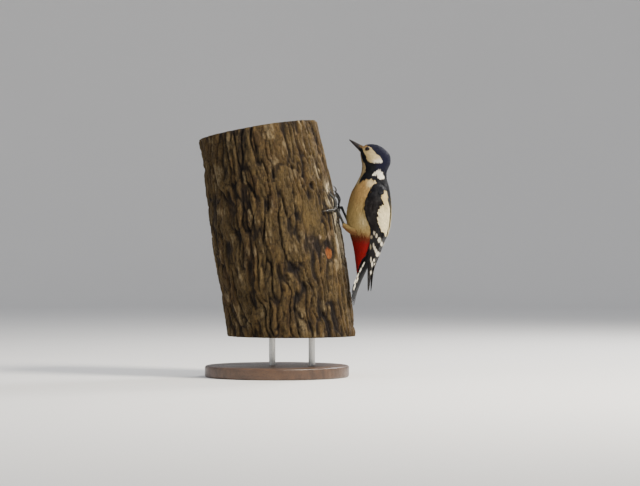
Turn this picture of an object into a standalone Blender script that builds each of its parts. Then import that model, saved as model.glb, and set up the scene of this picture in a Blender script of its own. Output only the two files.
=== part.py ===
"""A great spotted woodpecker clinging to a cut length of trunk on a display stand, life size.

Metres, +Z up, origin at the centre of the stand's underside. The bird faces -X, towards the log, so its
left side is at -Y. Sizes below are in millimetres, and every function returns metres only at the mesh.
"""
import math

import bmesh
import bpy
import numpy as np
from mathutils import Matrix

MM = 0.001
GAP = 0.3  # clearance between touching pieces
STEP_ALONG = 0.02  # share of a curve's length used to read its direction

# Stand
BASE_RADIUS = 88.0
BASE_THICK = 14.0
BASE_EDGE = 2.5
ROD_RADIUS = 4.0
ROD_SPACING = 50.0
SOCKET_IN_BASE = 7.0
SOCKET_IN_LOG = 14.0

# Log: a leaning, slightly bowed length of trunk
LOG_FOOT = (19.0, 50.0)  # x, z of the axis at the lower cut
LOG_HEAD = (-24.5, 300.0)
LOG_BOW = 2.0
LOG_RADIUS_FOOT = 78.5
LOG_RADIUS_HEAD = 72.5
LOG_SWELL = 3.5  # the stem is a little thicker at the bird's height
LOG_LOBES = ((3, 0.9, 2.0, 0.0), (5, 0.7, -3.0, 1.0))  # how many round, height, drift as they rise, start
LOG_SIDES = 40
LOG_RINGS = 11

# Bird: each station is a slice from the back line to the belly line
STATIONS = (  # back x, z; belly x, z; half-width; crown narrowing
    (108.8, 280.1, 104.9, 272.3, 4.4, 0.0),  # feathers meet the bill
    (112.8, 282.2, 105.8, 266.8, 9.2, 0.10),  # lores
    (120.2, 282.6, 107.4, 260.6, 12.6, 0.14),  # eye and chin
    (128.6, 280.4, 107.9, 254.6, 14.0, 0.12),  # cheek
    (135.8, 275.8, 107.0, 249.6, 14.4, 0.08),  # back of the crown
    (141.8, 268.8, 105.6, 246.0, 14.2, 0.05),  # nape
    (142.2, 259.2, 103.8, 242.0, 14.0, 0.03),  # hind neck
    (137.8, 249.6, 101.4, 237.8, 14.4, 0.0),  # neck
    (137.6, 240.0, 98.4, 232.0, 16.6, 0.0),  # shoulders
    (140.8, 228.4, 94.4, 225.0, 19.2, 0.0),
    (141.8, 214.8, 90.8, 213.6, 21.2, 0.0),  # breast
    (141.4, 200.8, 88.2, 201.4, 22.0, 0.0),
    (139.8, 187.0, 88.2, 188.0, 21.4, 0.0),  # belly
    (134.8, 172.4, 91.6, 176.0, 19.0, 0.0),
    (127.2, 159.2, 95.0, 164.0, 15.8, 0.0),  # rump and vent
    (119.4, 147.6, 97.6, 152.6, 12.6, 0.0),
    (111.8, 137.4, 99.0, 141.2, 9.6, 0.0),
    (107.6, 127.8, 100.4, 129.8, 7.0, 0.0),  # under-tail coverts
    (104.2, 120.0, 101.0, 120.6, 3.0, 0.0),
)
BODY_SIDES = 28
HEAD_TO = 5.3  # station numbers of the thin cuts between the pieces of the body
NECK_TO = 7.6
TORSO_TO = 13.4
THIN_CUT = 0.08  # of a station, at least the gap
CLEARANCE_FROM = 0.4  # station where the wings' and legs' clearance starts
BODY_CLEARANCE = 1.4 * GAP  # a little over the gap, since facets cut corners
RINGS_PER_STATION = 2.0
HEAD_TURN_DEG = -8.0  # the head looks a little past the far side of the log
TURN_AXIS_X = 122.0
TURN_FROM = 5.0
TURN_TO = 8.5

EYE_RADIUS = 3.4
EYE_AT = (117.4, 9.1, 275.7)
BILL_BASE = (106.3, 276.1)
BILL_RISE_DEG = 36.0
BILL_LENGTH = 20.0
BILL_START = 1.1  # from the feathers' edge, seen along the bill
BILL_HALF_WIDTH = 3.9
UPPER_DEPTH = 4.3
LOWER_DEPTH = 3.4
LOWER_REACH = 0.965  # of the upper half's length
BILL_TIP_HALF_WIDTH = 0.55
BILL_TIP_DEPTH = 0.45
BILL_TAPER = 0.85  # below 1 the sides stay full and close in near the tip
BILL_DEPTH_TAPER = 0.9
BILL_RINGS = 7
BILL_SECTION = (  # across and up, as shares of the half-width and depth
    (-1.0, 0.0), (-0.96, 0.34), (-0.62, 0.78), (-0.2, 0.98),
    (0.2, 0.98), (0.62, 0.78), (0.96, 0.34), (1.0, 0.0),
)

# Folded wing: points of its front edge and of its edge over the back, shoulder to tip, for the right wing
WING_FRONT = (
    (126.0, 13.0, 238.5),
    (122.0, 18.4, 229.5),
    (118.8, 22.0, 217.0),
    (118.0, 24.0, 204.0),
    (120.2, 23.8, 191.0),
    (122.8, 21.0, 178.5),
    (121.2, 16.6, 162.0),
    (118.4, 12.6, 144.0),
    (116.4, 9.8, 126.0),
    (116.6, 8.4, 104.6),
)
WING_BACK = (
    (131.0, 9.0, 240.0),
    (136.6, 11.6, 230.0),
    (139.4, 12.0, 216.0),
    (140.4, 11.0, 202.0),
    (140.2, 8.8, 188.0),
    (138.0, 6.0, 175.0),
    (133.2, 3.8, 162.0),
    (127.6, 3.2, 146.0),
    (121.2, 4.6, 129.0),
    (117.4, 7.2, 104.4),
)
WING_BULGE = (1.5, 3.4, 4.6, 5.0, 4.6, 3.6, 2.6, 1.8, 1.0, 0.2)
WING_THICK = (2.2, 3.4, 4.0, 4.2, 4.0, 3.2, 2.4, 1.8, 1.2, 0.8)
WING_EDGE_THICK = 0.45  # share of that thickness left at the edges
COVERTS_TO = 0.47  # share of the wing's length
SECONDARIES_TO = 0.83
FLIGHT_TURN = 0.68  # from here the primaries widen to the back edge
FLIGHT_SPLIT = 0.42  # share of the wing's width where primaries and secondaries part
FLIGHT_SPLIT_END = 0.96
WING_SLIT = 0.012  # half the gap between them, as such a share

# Tail: a fan arched over the under-tail coverts and braced on the bark
TAIL_RIDGE = (  # x, z of the ridge from root to tip
    (124.4, 153.6),
    (117.9, 141.0),
    (111.6, 128.4),
    (105.4, 115.4),
    (100.0, 101.4),
    (96.4, 87.2),
)
TAIL_HALF_WIDTH = (6.0, 8.8, 11.2, 13.2, 14.6, 15.4)
TAIL_ARCH = (2.6, 3.4, 3.6, 3.2, 2.2, 1.2)
TAIL_THICK = 1.5
TAIL_FEATHERS = 10
TAIL_STEP = 0.17  # the outer feathers are shorter by this share of the tail's length
TAIL_FAN = 1.4  # how late across the fan the feathers start to shorten
TAIL_THINNING = 0.45  # share of the thickness lost by the tip
TAIL_NOTCH = 0.05
TAIL_ROWS = 7

# Legs: side is -1 for the left and +1 for the right, and the right foot stands a little higher
LEGS = {  # side, extra height of the foot, degrees round the log from the point that faces the bird
    "left": (-1, 0.0, -7.0),
    "right": (1, 3.5, 12.0),
}
HIP = (108.0, 13.5, 178.0)
HEEL = (88.0, 12.0, 184.0)
ANKLE_OFF_BARK = 5.4
ANKLE_Z = 195.0  # on the log's axis, since the lean lifts the bark beside it by 8 more
THIGH_RADII = (7.6, 6.6, 4.6, 2.5)
THIGH_SHORT = 3.0  # the thigh ends this far before the heel
BEND = (-1.0, 1.5, -2.0)  # the thigh bows forwards, outwards and down by this much
HEEL_FOLLOWS = 0.6  # share of a foot's extra height that its heel takes
TARSUS_RADIUS = 1.45
TARSUS_SWELLING = (1.5, 1.15, 1.0, 1.2)  # heel, below it, middle and ankle
TARSUS_KNEE = 3.0  # from the heel to the end of its swelling
THIGH_RINGS = 7
TOES = {  # length, claw length, radius, degrees outwards from straight up, height of its arch
    "inner_toe": (11.0, 7.5, 1.2, -27.0, 2.2),
    "middle_toe": (14.0, 8.5, 1.3, 13.0, 2.8),
    "outer_toe": (15.0, 8.5, 1.25, 92.0, 1.0),
    "hind_toe": (6.5, 6.5, 1.0, 232.0, 0.5),
}
TOE_RINGS = (0.0, 0.2, 0.42, 0.6, 0.8, 1.0)
TOE_SWELLING = (1.0, 0.95, 1.12, 0.92, 1.05, 0.9)  # pads under the joints
TOE_CLEAR = 0.55  # from the bark to the underside of a toe
TOE_LIFT = (1.6, 0.5)  # height of a toe's middle line in radii, and what it loses by the tip
CLAW_ARCH = 0.36  # of the claw's length
CLAW_REACH = 0.78
CLAW_TIP_RADIUS = 0.28
CLAW_ROOT = 0.82  # of the toe's radius
CLAW_RINGS = 7
CLAW_CURL_FROM = 0.42  # radians along a half-turn, so the claw leaves the toe already rising
TOE_ROOT_STEP = 4.6  # from the ankle's centre to where a toe starts
PAD_RADIUS = 3.7
PAD_THICK = 2.8
PAD_LIFT = 2.1

COLOURS = {  # colour, roughness, metallic
    "stand_wood": ((0.10, 0.055, 0.03), 0.45, 0.0),
    "stand_steel": ((0.55, 0.55, 0.55), 0.3, 1.0),
    "bark": ((0.17, 0.12, 0.07), 0.9, 0.0),
    "white_feather": ((0.75, 0.70, 0.58), 0.8, 0.0),
    "buff_feather": ((0.62, 0.48, 0.28), 0.8, 0.0),
    "red_feather": ((0.45, 0.02, 0.02), 0.8, 0.0),
    "black_feather": ((0.015, 0.015, 0.02), 0.5, 0.0),
    "bill_horn": ((0.06, 0.06, 0.07), 0.35, 0.0),
    "eye_gloss": ((0.03, 0.01, 0.008), 0.05, 0.0),
    "leg_scale": ((0.13, 0.13, 0.11), 0.6, 0.0),
    "claw_horn": ((0.05, 0.05, 0.05), 0.3, 0.0),
}


def spline(points, where):
    """Catmull-Rom curve through points, read at the station numbers in where."""
    points = np.asarray(points, float)
    points = points.reshape(len(points), -1)
    where = np.atleast_1d(np.asarray(where, float))
    last = len(points) - 1
    i = np.clip(where.astype(int), 0, last - 1)
    t = (where - i)[:, None]
    before = points[np.maximum(i - 1, 0)]
    start, end = points[i], points[i + 1]
    after = points[np.minimum(i + 2, last)]
    square = 2 * before - 5 * start + 4 * end - after
    cube = 3 * (start - end) + after - before
    return start + 0.5 * t * (end - before + t * (square + t * cube))


def smoothstep(x):
    x = np.clip(x, 0.0, 1.0)
    return x * x * (3 - 2 * x)


def turn_head(points, station=0.0):
    """Turns points about an upright axis: fully in the head, less down the neck and not at all below it."""
    share = 1 - smoothstep((station - TURN_FROM) / (TURN_TO - TURN_FROM))
    angle = math.radians(HEAD_TURN_DEG) * float(share)
    points = np.array(points, float)
    x, y = points[..., 0] - TURN_AXIS_X, points[..., 1].copy()
    points[..., 0] = TURN_AXIS_X + x * np.cos(angle) - y * np.sin(angle)
    points[..., 1] = x * np.sin(angle) + y * np.cos(angle)
    return points


def collection(name):
    made = bpy.data.collections.new(name)
    bpy.context.scene.collection.children.link(made)
    return made


def material(name):
    made = bpy.data.materials.get(name)
    if made is None:
        made = bpy.data.materials.new(name)
        made.use_nodes = True
        shader = made.node_tree.nodes["Principled BSDF"]
        colour, roughness, metallic = COLOURS[name]
        shader.inputs["Base Color"].default_value = (*colour, 1.0)
        shader.inputs["Roughness"].default_value = roughness
        shader.inputs["Metallic"].default_value = metallic
    return made


def add_object(name, data, group, finish):
    made = bpy.data.objects.new(name, data)
    group.objects.link(made)
    data.materials.append(material(finish))
    return made


def finish_mesh(name, mesh, group, finish):
    bmesh.ops.recalc_face_normals(mesh, faces=mesh.faces)
    data = bpy.data.meshes.new(name)
    mesh.to_mesh(data)
    mesh.free()
    data.shade_smooth()
    data.set_sharp_from_angle(angle=math.radians(40))
    return add_object(name, data, group, finish)


def loft(name, rings, group, finish):
    """A closed solid through rings of equally many points, in millimetres, with a flat cap at each end."""
    mesh = bmesh.new()
    rows = [[mesh.verts.new(point * MM) for point in ring] for ring in rings]
    count = len(rows[0])
    for low, high in zip(rows, rows[1:]):
        for i in range(count):
            j = (i + 1) % count
            mesh.faces.new((low[i], low[j], high[j], high[i]))
    mesh.faces.new(rows[0])
    mesh.faces.new(rows[-1])
    return finish_mesh(name, mesh, group, finish)


def slab(name, upper, lower, group, finish):
    """A closed plate between two grids of points, in millimetres, of rows by columns."""
    mesh = bmesh.new()
    top = [[mesh.verts.new(point * MM) for point in row] for row in upper]
    under = [[mesh.verts.new(point * MM) for point in row] for row in lower]
    rows, columns = len(top), len(top[0])
    for i in range(rows - 1):
        for j in range(columns - 1):
            mesh.faces.new((top[i][j], top[i][j + 1], top[i + 1][j + 1], top[i + 1][j]))
            mesh.faces.new((under[i][j], under[i + 1][j], under[i + 1][j + 1], under[i][j + 1]))
    for i in range(rows - 1):
        for j in (0, columns - 1):
            mesh.faces.new((top[i][j], top[i + 1][j], under[i + 1][j], under[i][j]))
    for j in range(columns - 1):
        for i in (0, rows - 1):
            mesh.faces.new((top[i][j], top[i][j + 1], under[i][j + 1], under[i][j]))
    return finish_mesh(name, mesh, group, finish)


def tube(name, path, radii, sides, group, finish):
    """A round tapering piece: a poly curve with a bevel, filled caps and a radius at each point."""
    curve = bpy.data.curves.new(name, "CURVE")
    curve.dimensions = "3D"
    curve.bevel_depth = MM
    curve.bevel_resolution = sides
    curve.use_fill_caps = True
    line = curve.splines.new("POLY")
    line.points.add(len(path) - 1)
    for point, place, radius in zip(line.points, path, radii):
        point.co = (*(place * MM), 1.0)
        point.radius = radius
    return add_object(name, curve, group, finish)


def as_mesh(made):
    """The curve object as a mesh with its caps welded, for Boolean work."""
    bpy.context.view_layer.update()
    graph = bpy.context.evaluated_depsgraph_get()
    data = bpy.data.meshes.new_from_object(made.evaluated_get(graph))
    welded = bmesh.new()
    welded.from_mesh(data)
    bmesh.ops.remove_doubles(welded, verts=welded.verts, dist=1e-5)
    bmesh.ops.recalc_face_normals(welded, faces=welded.faces)
    welded.to_mesh(data)
    welded.free()
    name, place, group = made.name, made.matrix_world.copy(), made.users_collection[0]
    bpy.data.objects.remove(made)
    solid = bpy.data.objects.new(name, data)
    solid.matrix_world = place
    group.objects.link(solid)
    return solid


def cylinder(name, radius, low, high, x, y, group, finish, sides=48):
    mesh = bmesh.new()
    bore, tall = radius * MM, (high - low) * MM
    bmesh.ops.create_cone(mesh, cap_ends=True, segments=sides, radius1=bore, radius2=bore, depth=tall)
    made = finish_mesh(name, mesh, group, finish)
    made.location = (x * MM, y * MM, 0.5 * (low + high) * MM)
    return made


def as_cutter(made):
    made.hide_render = True
    made.display_type = "WIRE"
    return made


def cut(made, cutter):
    step = made.modifiers.new("cut by " + cutter.name, "BOOLEAN")
    step.operation = "DIFFERENCE"
    step.object = cutter
    return made


def log_axis(share):
    """x and z of the stem's axis, from 0 at the lower cut to 1 at the upper one."""
    share = np.asarray(share, float)
    x = LOG_FOOT[0] + (LOG_HEAD[0] - LOG_FOOT[0]) * share + 4 * LOG_BOW * share * (1 - share)
    z = LOG_FOOT[1] + (LOG_HEAD[1] - LOG_FOOT[1]) * share
    return x, z


def log_point(angle, share, lift=0.0):
    """A point on the stem. The angle is 0 towards the bird; lift is the height above the bark.

    The outline is a circle with soft lobes that drift round the stem as they rise, none on the bird's side.
    """
    angle, share = np.asarray(angle, float), np.asarray(share, float)
    x, z = log_axis(share)
    radius = LOG_RADIUS_FOOT + (LOG_RADIUS_HEAD - LOG_RADIUS_FOOT) * share
    radius = radius + LOG_SWELL * np.sin(math.pi * share) ** 2
    for count, height, drift, start in LOG_LOBES:
        radius = radius + height * np.cos(count * angle + drift * share + start) * np.sin(angle / 2) ** 2
    radius = radius + lift
    lean = (LOG_HEAD[0] - LOG_FOOT[0]) / (LOG_HEAD[1] - LOG_FOOT[1])
    across = radius * np.cos(angle)
    return np.stack([x + across, radius * np.sin(angle), z - lean * across * share], -1)


def make_stand(parts, cutters):
    base = cylinder("stand_base", BASE_RADIUS, 0.0, BASE_THICK, 0.0, 0.0, parts, "stand_wood", sides=56)
    edge = base.modifiers.new("rounded edge", "BEVEL")
    edge.width = BASE_EDGE * MM
    edge.segments = 2
    angles = np.linspace(0, 2 * math.pi, LOG_SIDES, endpoint=False)
    shares = np.linspace(0, 1, LOG_RINGS)
    rings = [log_point(angles, np.full(LOG_SIDES, share)) for share in shares]
    log = loft("perch_log", rings, parts, "bark")
    for name, step in (("stand_rod_1", -0.5), ("stand_rod_2", 0.5)):
        x = LOG_FOOT[0] + step * ROD_SPACING
        low, high = BASE_THICK - SOCKET_IN_BASE, LOG_FOOT[1] + SOCKET_IN_LOG
        cylinder(name, ROD_RADIUS, low + GAP, high - GAP, x, 0.0, parts, "stand_steel", sides=24)
        bore = ROD_RADIUS + GAP
        socket = cylinder(name + "_socket", bore, low, high, x, 0.0, cutters, "stand_steel", sides=24)
        cut(base, as_cutter(socket))
        cut(log, socket)


def body_ring(station, grow=0.0):
    """A slice of the body: an egg-shaped loop between the back line and the belly line."""
    back_x, back_z, belly_x, belly_z, half_width, narrow = spline(STATIONS, station)[0]
    back, belly = np.array([back_x, 0, back_z]), np.array([belly_x, 0, belly_z])
    centre, half = (back + belly) / 2, (back - belly) / 2
    up = half / np.linalg.norm(half)
    angle = np.linspace(0, 2 * math.pi, BODY_SIDES, endpoint=False)
    rise = np.cos(angle)[:, None]
    wide = ((half_width + grow) * np.sin(angle) * (1 - narrow * np.cos(angle)))[:, None]
    return turn_head(centre + rise * (half + up * grow) + wide * np.array([0.0, 1.0, 0.0]), station)


def body_piece(name, start, end, group, finish, grow=0.0):
    count = max(2, round((end - start) * RINGS_PER_STATION) + 1)
    rings = [body_ring(station, grow) for station in np.linspace(start, end, count)]
    return loft(name, rings, group, finish)


def make_body(parts, cutters):
    """Head, neck, torso and rump as lofts that part at thin cuts, and the clearance other pieces keep."""
    last = len(STATIONS) - 1.0
    head = body_piece("head", 0.0, HEAD_TO, parts, "white_feather")
    body_piece("neck", HEAD_TO + THIN_CUT, NECK_TO, parts, "black_feather")
    body_piece("torso", NECK_TO + THIN_CUT, TORSO_TO, parts, "buff_feather")
    body_piece("rump", TORSO_TO + THIN_CUT, last, parts, "red_feather")
    clearance = body_piece("body_clearance", CLEARANCE_FROM, last, cutters, "buff_feather", BODY_CLEARANCE)
    return head, as_cutter(clearance)


def make_eyes(parts, cutters, head):
    for side, sign in (("left", -1), ("right", 1)):
        x, y, z = turn_head(np.array([EYE_AT[0], sign * EYE_AT[1], EYE_AT[2]]))
        balls = (("eye_" + side, EYE_RADIUS, parts), ("socket_" + side, EYE_RADIUS + GAP, cutters))
        for name, radius, group in balls:
            mesh = bmesh.new()
            bmesh.ops.create_uvsphere(mesh, u_segments=14, v_segments=9, radius=radius * MM)
            made = finish_mesh(name, mesh, group, "eye_gloss")
            made.location = (x * MM, y * MM, z * MM)
            if group is cutters:
                cut(head, as_cutter(made))


def make_bill(parts):
    """Two straight tapering halves, roofed above and keeled below, that end in a narrow chisel."""
    rise = math.radians(BILL_RISE_DEG)
    along = np.array([-math.cos(rise), 0.0, math.sin(rise)])
    up = np.array([math.sin(rise), 0.0, math.cos(rise)])
    base = np.array([BILL_BASE[0], 0.0, BILL_BASE[1]])
    halves = (("bill_upper", UPPER_DEPTH, 1, 1.0), ("bill_lower", LOWER_DEPTH, -1, LOWER_REACH))
    for name, depth, sign, reach in halves:
        rings = []
        for share in np.linspace(0, 1, BILL_RINGS):
            width = BILL_HALF_WIDTH * (1 - share) ** BILL_TAPER + BILL_TIP_HALF_WIDTH * share
            height = depth * (1 - share) ** BILL_DEPTH_TAPER + BILL_TIP_DEPTH * share
            centre = base + along * (BILL_START + share * reach * BILL_LENGTH) + up * sign * GAP / 2
            side, roof = np.array([0.0, width, 0.0]), up * sign * height
            rings.append(turn_head(np.array([centre + side * w + roof * h for w, h in BILL_SECTION])))
        loft(name, rings, parts, "bill_horn")


def ahead_on(points, along):
    """The way a curve runs at a share of its length, from its places a little before and after."""
    last = len(points) - 1
    after, before = min(along + STEP_ALONG, 1), max(along - STEP_ALONG, 0)
    return spline(points, after * last)[0] - spline(points, before * last)[0]


def wing_grid(rows, columns, low, high, sign):
    """Outer and inner grids of a part of the folded wing.

    The sheet runs between the wing's front and back edges and swells outwards in between.
    low and high are functions of the share along the wing that give the part's limits across it.
    """
    outer, inner = [], []
    last = len(WING_FRONT) - 1
    for along in rows:
        front, back = spline(WING_FRONT, along * last)[0], spline(WING_BACK, along * last)[0]
        bulge, thick = spline(WING_BULGE, along * last)[0], spline(WING_THICK, along * last)[0]
        chord = (back - front) / np.linalg.norm(back - front)
        down = ahead_on(WING_FRONT, along)
        out = np.cross(down, chord)
        out = out / np.linalg.norm(out)
        if out[1] < 0:
            out = -out
        across = np.linspace(low(along), high(along), columns)[:, None]
        swell = 4 * across * (1 - across)
        sheet = front + (back - front) * across + out * bulge * swell
        outer.append(sheet)
        inner.append(sheet - out * thick * (WING_EDGE_THICK + (1 - WING_EDGE_THICK) * swell ** 0.5))
    flip = np.array([1.0, float(sign), 1.0])
    return np.array(outer) * flip, np.array(inner) * flip


def flight_limit(along):
    """Where primaries meet secondaries across the wing: it runs out to the back edge where those end."""
    share = smoothstep((along - FLIGHT_TURN) / (SECONDARIES_TO - FLIGHT_TURN))
    return FLIGHT_SPLIT + (FLIGHT_SPLIT_END - FLIGHT_SPLIT) * float(share)


def make_wings(parts, clearance):
    """Each wing is three plates: coverts to the wrist, secondaries over the back, primaries to the tip."""
    covert_rows = np.linspace(0.0, COVERTS_TO, 10)
    flight_rows = np.linspace(COVERTS_TO + WING_SLIT / 4, SECONDARIES_TO, 8)
    tip_rows = np.linspace(SECONDARIES_TO, 1.0, 5)[1:]
    pieces = (
        ("coverts", covert_rows, 8, lambda t: 0.0, lambda t: 1.0),
        ("secondaries", flight_rows, 6, lambda t: flight_limit(t) + WING_SLIT, lambda t: 1.0),
        ("primaries", [*flight_rows, *tip_rows], 6, lambda t: 0.0, lambda t: flight_limit(t) - WING_SLIT),
    )
    for side, sign in (("left", -1), ("right", 1)):
        for name, rows, columns, low, high in pieces:
            outer, inner = wing_grid(rows, columns, low, high, sign)
            made = slab(f"wing_{side}_{name}", outer, inner, parts, "black_feather")
            cut(made, clearance)


def tail_point(along, across):
    """A point on the tail's upper face: along is 0 at the root and 1 at the tip, across is -1 to 1."""
    last = len(TAIL_RIDGE) - 1
    x, z = spline(TAIL_RIDGE, along * last)[0]
    half_width = spline(TAIL_HALF_WIDTH, along * last)[0][0]
    arch = spline(TAIL_ARCH, along * last)[0][0]
    ahead = ahead_on(TAIL_RIDGE, along)
    ahead = ahead / np.linalg.norm(ahead)
    inward = np.array([ahead[1], 0.0, -ahead[0]])
    inward = inward if inward[0] < 0 else -inward
    return np.array([x, half_width * across, z]) + inward * arch * across**2, inward


def make_tail(parts, clearance):
    """Pointed feathers side by side, the middle pair longest."""
    upper, lower = [], []
    columns = 2 * TAIL_FEATHERS + 1
    for row in np.linspace(0, 1, TAIL_ROWS):
        top, under = [], []
        for column in range(columns):
            across = 2 * column / (columns - 1) - 1
            notch = TAIL_NOTCH if column % 2 == 0 else 0.0
            reach = 1 - TAIL_STEP * abs(across) ** TAIL_FAN - notch
            point, inward = tail_point(row * reach, across)
            thick = TAIL_THICK * (1 - TAIL_THINNING * row)
            top.append(point)
            under.append(point + inward * thick)
        upper.append(top)
        lower.append(under)
    cut(slab("tail", np.array(upper), np.array(lower), parts, "black_feather"), clearance)


def bark_path(start_angle, start_share, bearing_deg, length, lifts):
    """Points that walk over the bark from a start, on a bearing from straight up, at the given lifts."""
    bearing = math.radians(bearing_deg)
    span = LOG_HEAD[1] - LOG_FOOT[1]
    points = []
    for step, lift in zip(np.linspace(0, length, len(lifts)), lifts):
        share = start_share + step * math.cos(bearing) / span
        angle = start_angle + step * math.sin(bearing) / LOG_RADIUS_FOOT
        points.append(log_point(angle, share, lift))
    return np.array(points)


def make_leg(side, sign, raised, at_deg, parts, clearance):
    share = (ANKLE_Z + raised - LOG_FOOT[1]) / (LOG_HEAD[1] - LOG_FOOT[1])
    angle = math.radians(at_deg)
    ankle = log_point(angle, share, ANKLE_OFF_BARK)
    hip = np.array([HIP[0], sign * HIP[1], HIP[2]])
    heel = np.array([HEEL[0], sign * HEEL[1], HEEL[2] + raised * HEEL_FOLLOWS])
    bend = (hip + heel) / 2 + np.array(BEND) * np.array([1.0, sign, 1.0])
    thigh_end = heel + (bend - heel) * THIGH_SHORT / np.linalg.norm(bend - heel)
    thigh_path = spline([hip, bend, thigh_end], np.linspace(0, 2, THIGH_RINGS))
    thigh_radii = spline(THIGH_RADII, np.linspace(0, len(THIGH_RADII) - 1, THIGH_RINGS))[:, 0]
    thigh = as_mesh(tube(f"leg_{side}_thigh", thigh_path, thigh_radii, 3, parts, "buff_feather"))
    cut(thigh, clearance)
    to_ankle = (ankle - heel) / np.linalg.norm(ankle - heel)
    shank = np.array([heel + to_ankle * GAP, heel + to_ankle * TARSUS_KNEE, (heel + ankle) / 2, ankle])
    shank_radii = np.array(TARSUS_SWELLING) * TARSUS_RADIUS
    tube(f"leg_{side}_tarsus", shank, shank_radii, 2, parts, "leg_scale")
    return angle, share


def make_foot(side, sign, angle, share, parts):
    """A flat round pad with four toes that lie on the bark, and a curved claw on each."""
    span = LOG_HEAD[1] - LOG_FOOT[1]
    pad = bmesh.new()
    bmesh.ops.create_uvsphere(pad, u_segments=12, v_segments=8, radius=PAD_RADIUS * MM)
    bmesh.ops.scale(pad, verts=pad.verts, vec=(PAD_THICK / 2 / PAD_RADIUS, 1.0, 1.0))
    bmesh.ops.rotate(pad, verts=pad.verts, matrix=Matrix.Rotation(float(angle), 3, "Z"))
    made = finish_mesh(f"foot_{side}_pad", pad, parts, "leg_scale")
    made.location = log_point(angle, share, PAD_LIFT) * MM
    for toe, (length, claw, radius, bearing, arch) in TOES.items():
        turned = math.radians(bearing) * sign
        root_share = share + TOE_ROOT_STEP * math.cos(turned) / span
        root_angle = angle + TOE_ROOT_STEP * math.sin(turned) / LOG_RADIUS_FOOT
        where = np.array(TOE_RINGS)
        lifts = radius * (TOE_LIFT[0] - TOE_LIFT[1] * where) + TOE_CLEAR + arch * np.sin(math.pi * where)
        path = bark_path(root_angle, root_share, math.degrees(turned), length, lifts)
        tube(f"foot_{side}_{toe}", path, radius * np.array(TOE_SWELLING), 2, parts, "leg_scale")
        past = length + radius + GAP
        tip_share = root_share + past * math.cos(turned) / span
        tip_angle = root_angle + past * math.sin(turned) / LOG_RADIUS_FOOT
        along = np.linspace(CLAW_CURL_FROM, math.pi, CLAW_RINGS)
        curl = np.sin(along) * claw * CLAW_ARCH + CLAW_TIP_RADIUS + GAP
        curl[0] = radius + TOE_CLEAR
        path = bark_path(tip_angle, tip_share, math.degrees(turned), claw * CLAW_REACH, curl)
        radii = np.linspace(radius * CLAW_ROOT, CLAW_TIP_RADIUS, CLAW_RINGS)
        tube(f"foot_{side}_{toe}_claw", path, radii, 1, parts, "claw_horn")


def main():
    for old in list(bpy.data.objects):
        bpy.data.objects.remove(old)
    parts, cutters = collection("great_spotted_woodpecker"), collection("cutters")
    make_stand(parts, cutters)
    head, clearance = make_body(parts, cutters)
    make_eyes(parts, cutters, head)
    make_bill(parts)
    make_wings(parts, clearance)
    make_tail(parts, clearance)
    for side, (sign, raised, at_deg) in LEGS.items():
        angle, share = make_leg(side, sign, raised, at_deg, parts, clearance)
        make_foot(side, sign, angle, share, parts)


main()
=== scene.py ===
"""A great spotted woodpecker on a cut length of trunk: its skin, feathers, bill, feet, bark and stand.

Sizes are millimetres on the frame's axes, and make_mesh turns them to metres. The bird faces -X with its left
side at -Y. A surface is a function of two parameters, and the feathers are vanes laid over such surfaces.
"""
import math

import bpy
import numpy as np
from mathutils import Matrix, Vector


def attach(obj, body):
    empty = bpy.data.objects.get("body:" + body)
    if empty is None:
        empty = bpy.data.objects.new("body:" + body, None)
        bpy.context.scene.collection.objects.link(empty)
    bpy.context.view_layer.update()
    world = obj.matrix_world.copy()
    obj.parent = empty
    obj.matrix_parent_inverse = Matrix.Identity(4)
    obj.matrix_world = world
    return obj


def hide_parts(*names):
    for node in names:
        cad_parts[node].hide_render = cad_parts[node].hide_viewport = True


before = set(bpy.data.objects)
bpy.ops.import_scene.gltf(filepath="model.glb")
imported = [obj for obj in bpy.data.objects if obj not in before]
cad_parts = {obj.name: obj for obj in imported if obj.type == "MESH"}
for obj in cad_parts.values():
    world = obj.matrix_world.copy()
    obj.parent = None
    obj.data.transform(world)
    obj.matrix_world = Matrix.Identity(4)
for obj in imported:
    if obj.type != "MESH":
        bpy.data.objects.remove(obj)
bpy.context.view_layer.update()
MM = 0.001
PI = math.pi
draw = np.random.default_rng(29)

# ---------------------------------------------------------------- sizes that repeat the solids'

GAP = 0.3
LOG_FOOT, LOG_HEAD = (19.0, 50.0), (-24.5, 300.0)  # x, z of the stem's axis at its two cuts
LOG_BOW, LOG_SWELL = 2.0, 3.5
LOG_RADIUS_FOOT, LOG_RADIUS_HEAD = 78.5, 72.5
LOG_LOBES = ((3, 0.9, 2.0, 0.0), (5, 0.7, -3.0, 1.0))  # how many round, height, drift as they rise, start
LOG_SPAN = LOG_HEAD[1] - LOG_FOOT[1]
LOG_LEAN = (LOG_HEAD[0] - LOG_FOOT[0]) / LOG_SPAN
BASE_RADIUS, BASE_THICK, BASE_EDGE = 88.0, 14.0, 2.5
ROD_RADIUS, ROD_EDGE, ROD_SPACING, ROD_FROM, ROD_TO = 4.0, 0.4, 50.0, 7.3, 63.7

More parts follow.
